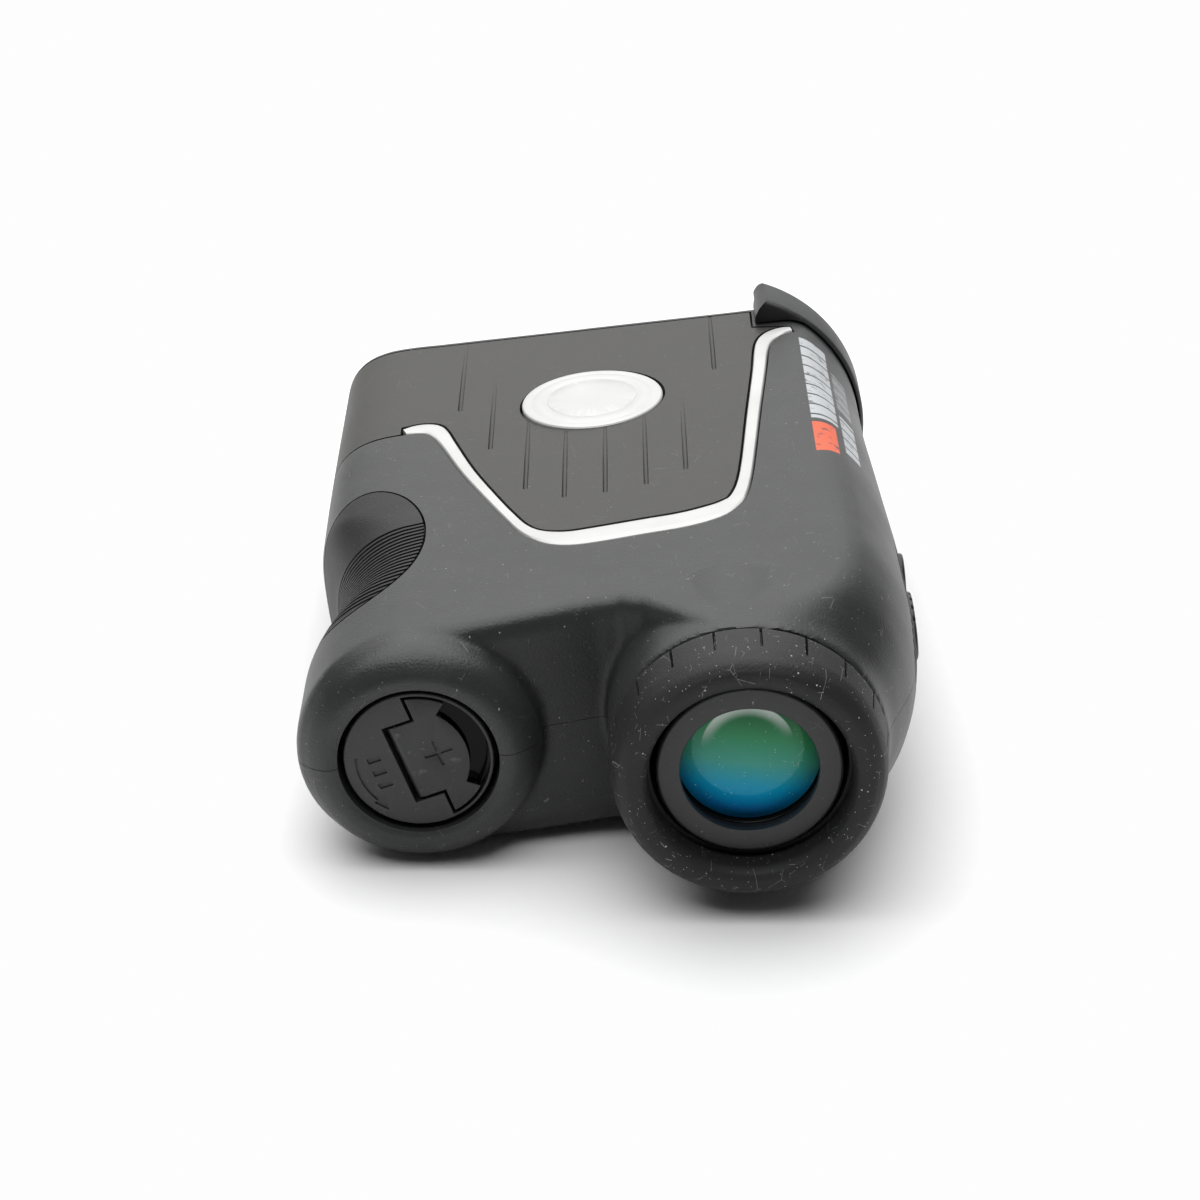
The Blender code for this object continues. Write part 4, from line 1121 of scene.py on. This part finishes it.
tab.data.transform(CAP_PLACE)
finish_piece(tab, "cap_tab", "black_plastic", cap_plastic, "cap_tab")
# Faces sunk in the fingernail recess get the near-black finish: painted shade in the hollow.
tab.data.materials.append(gloss_black_painted_shade)
back_to_cap = (DEVICE @ CAP_PLACE).inverted()
for face in tab.data.polygons:
    place = back_to_cap @ face.center
    sunk = place.y / MM - CAP_FACE_Y
    in_nail = place.x > 5.0 * MM and math.hypot(place.x, place.z) < (CAP_R - 1.0) * MM
    if in_nail and 0.2 < sunk < NAIL_DEPTH + 0.05:
        face.material_index = 1

pin = pin_bar("fold_pin", 0.4, 6.7)
pin.data.transform(CAP_PLACE)
finish_piece(pin, "cap", "steel", bright_steel, "tab_pin")

# %% [markdown]
# The cell is a steel can in a printed sleeve. The sleeve's colour bands go round it, and its two
# ends are bare metal; the shader tells them apart by how far along the cell a point lies.
# %% Battery
wrap, shader, place = finish("battery_wrap", 0.36, coat=0.3)
along = (place.axis(1) - seam_centre.y) / MM
bare = 1 - along.between(11.6, 43.2, 0.1)
band = along.between(17.5, 21.0, 0.08) + along.between(38.5, 39.6, 0.08)
sleeve = place.noise(120.0, 3.0).mix((0.050, 0.056, 0.075), (0.070, 0.078, 0.10))
printed = band.mix(sleeve, (0.42, 0.44, 0.46))
steel_tint = place.noise(500.0, 2.0).mix((0.55, 0.55, 0.56), (0.68, 0.68, 0.69))
connect(shader, "Base Color", bare.mix(printed, steel_tint))
connect(shader, "Metallic", bare)
connect(shader, "Roughness", 0.36 - 0.10 * bare + 0.08 * place.noise(240.0, 3.0))
bump(shader, place.noise(900.0, 2.0), 0.01 * MM)
cell_outline = [(0, 10.6), (6, 10.6), (6.2, 10.9), (8.2, 10.9), (8.5, 11.2), (8.5, 43.4), (8.2, 43.7),
                (3.2, 43.7), (3.2, 45.1), (0, 45.1)]
cell = turned("lithium_cell", rounded(cell_outline, 0.25), LOBE_X, 128)
finish_piece(cell, "battery", "battery_wrap", wrap, "battery")

# %% [markdown]
# Four screws hold the shells together. Their heads lie deep in the lower side.
# %% Screws
screw_outline = [(0, 15.0), (1.55, 15.0), (1.75, 14.8), (1.75, 13.8), (0.9, 13.7), (0.9, -5.6),
                 (0.4, -6.4), (0, -6.4)]
hexagon = [(0.85 * math.cos(math.tau * i / 6), 0.85 * math.sin(math.tau * i / 6)) for i in range(6)]
for number, (x, y) in enumerate(SCREWS, 1):
    screw = turned(f"screw_{number}", screw_outline, steps=48)
    cut(screw, slab("socket", in_metres(hexagon), 14.2 * MM, 16 * MM, axis="Y"))
    stand = Matrix.Rotation(math.radians(-90), 4, "X")
    screw.data.transform(Matrix.Translation((x * MM, y * MM, 0)) @ stand)
    finish_piece(screw, "root", "steel", bright_steel, f"housing_screw_{number}")

# %% [markdown]
# The parts deep inside keep the plain shapes they came with and only get finishes: glass for the
# prism and the display, green lacquered fibre board with copper tracks, black plastic, gold.
# %% Inner pieces
board, shader, place = finish("circuit_board", 0.42, coat=0.4)
tracks = place.cells(420.0, feature="DISTANCE_TO_EDGE").smooth(0.05, 0.09, 1.0, 0.0)
pads = place.cells(700.0).smooth(0.16, 0.22, 1.0, 0.0) * place.noise(300.0, 1.0).smooth(0.5, 0.6)
lacquer = place.noise(800.0, 2.0).mix((0.010, 0.075, 0.030), (0.016, 0.10, 0.042))
connect(shader, "Base Color", pads.mix(tracks.mix(lacquer, (0.04, 0.17, 0.06)), (0.75, 0.60, 0.30)))
connect(shader, "Metallic", pads)
connect(shader, "Roughness", 0.45 - 0.15 * pads + 0.1 * place.noise(90.0))
bump(shader, tracks + pads, 0.03 * MM)

inner_glass = coated_lens("inner_glass", [(0.0, (0.04, 0.06, 0.07)), (0.5, (0.06, 0.09, 0.10)),
                                          (1.0, (0.09, 0.12, 0.12))], 14.0)
INNER = [("prism", "lens_glass", inner_glass), ("reticle_display", "lens_glass", inner_glass),
         ("prism_holder", "black_plastic", dark_inside), ("receiver_board", "circuit_board", board),
         ("main_board", "circuit_board", board), ("contact_spring", "gold_plate", gold_plating)]
for name, slot, material in INNER:
    node = frame["nodes"][name]
    node.data.materials.clear()
    node.data.materials.append(material)
print(f"{len(INNER)} inner pieces given finishes")

# %% [markdown]
# Cutters and forms have done their work and go away. What is left belongs to the object.
# %% Clear the bench
leftovers = [o for o in bpy.data.objects if o.type == "MESH" and body_of(o) is None]
print(f"{len(leftovers)} cutters cleared")
drop(*leftovers)

# %% [markdown]
# The object lies on a sheet of white paper under one big soft light, with a bright wall behind it
# that the tops mirror. The paper is so bright that it melts into the background, and the shadow at
# the contact stays soft. A view curve deepens the dark tones a little.
# %% Floor, lights and world
bpy.ops.object.select_all(action="DESELECT")
bpy.ops.mesh.primitive_plane_add(size=6.0, location=(0, 0, 0))
floor = bpy.context.object
floor.name = "paper"
paper, shader, place = finish("paper", 0.85)
connect(shader, "Base Color", place.noise(400.0, 2.0).mix((0.93, 0.93, 0.93), (0.95, 0.95, 0.95)))
floor.data.materials.append(paper)
floor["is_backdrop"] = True


def area_light(name, place, target, size, power):
    data = bpy.data.lights.new(name, "AREA")
    data.shape = "RECTANGLE"
    data.size, data.size_y = size
    data.energy = power
    lamp = bpy.data.objects.new(name, data)
    bpy.context.scene.collection.objects.link(lamp)
    lamp.location = place
    lamp.rotation_euler = (Vector(target) - Vector(place)).to_track_quat("-Z", "Y").to_euler()
    lamp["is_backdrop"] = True


area_light("soft_box", (-0.08, 0.06, 0.85), (0, 0, 0), (1.4, 1.2), 15.6)
area_light("back_wall", (0.0, 1.05, 0.50), (0, 0, 0.05), (2.0, 0.8), 6.0)

world = bpy.data.worlds.new("studio")
bpy.context.scene.world = world
world.use_nodes = True
world.node_tree.nodes["Background"].inputs["Color"].default_value = (1.0, 1.0, 1.0, 1)
world.node_tree.nodes["Background"].inputs["Strength"].default_value = 0.08
view = bpy.context.scene.view_settings
view.view_transform = "Standard"
view.use_curve_mapping = True
curve = view.curve_mapping.curves[3]
curve.points[-1].location = (1.0, 0.984)         # paper stays a little below full white
for dark, shown in ((0.05, 0.037), (0.16, 0.16)):
    curve.points.new(dark, shown)                # shadows a little deeper
for point in curve.points:
    point.handle_type = "VECTOR"
view.curve_mapping.extend = "HORIZONTAL"
view.curve_mapping.update()

for name, (low, high) in (("frame", cad_bounds), ("scene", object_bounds())):
    sizes = {"name": name, "low_m": [round(v, 5) for v in low], "high_m": [round(v, 5) for v in high]}
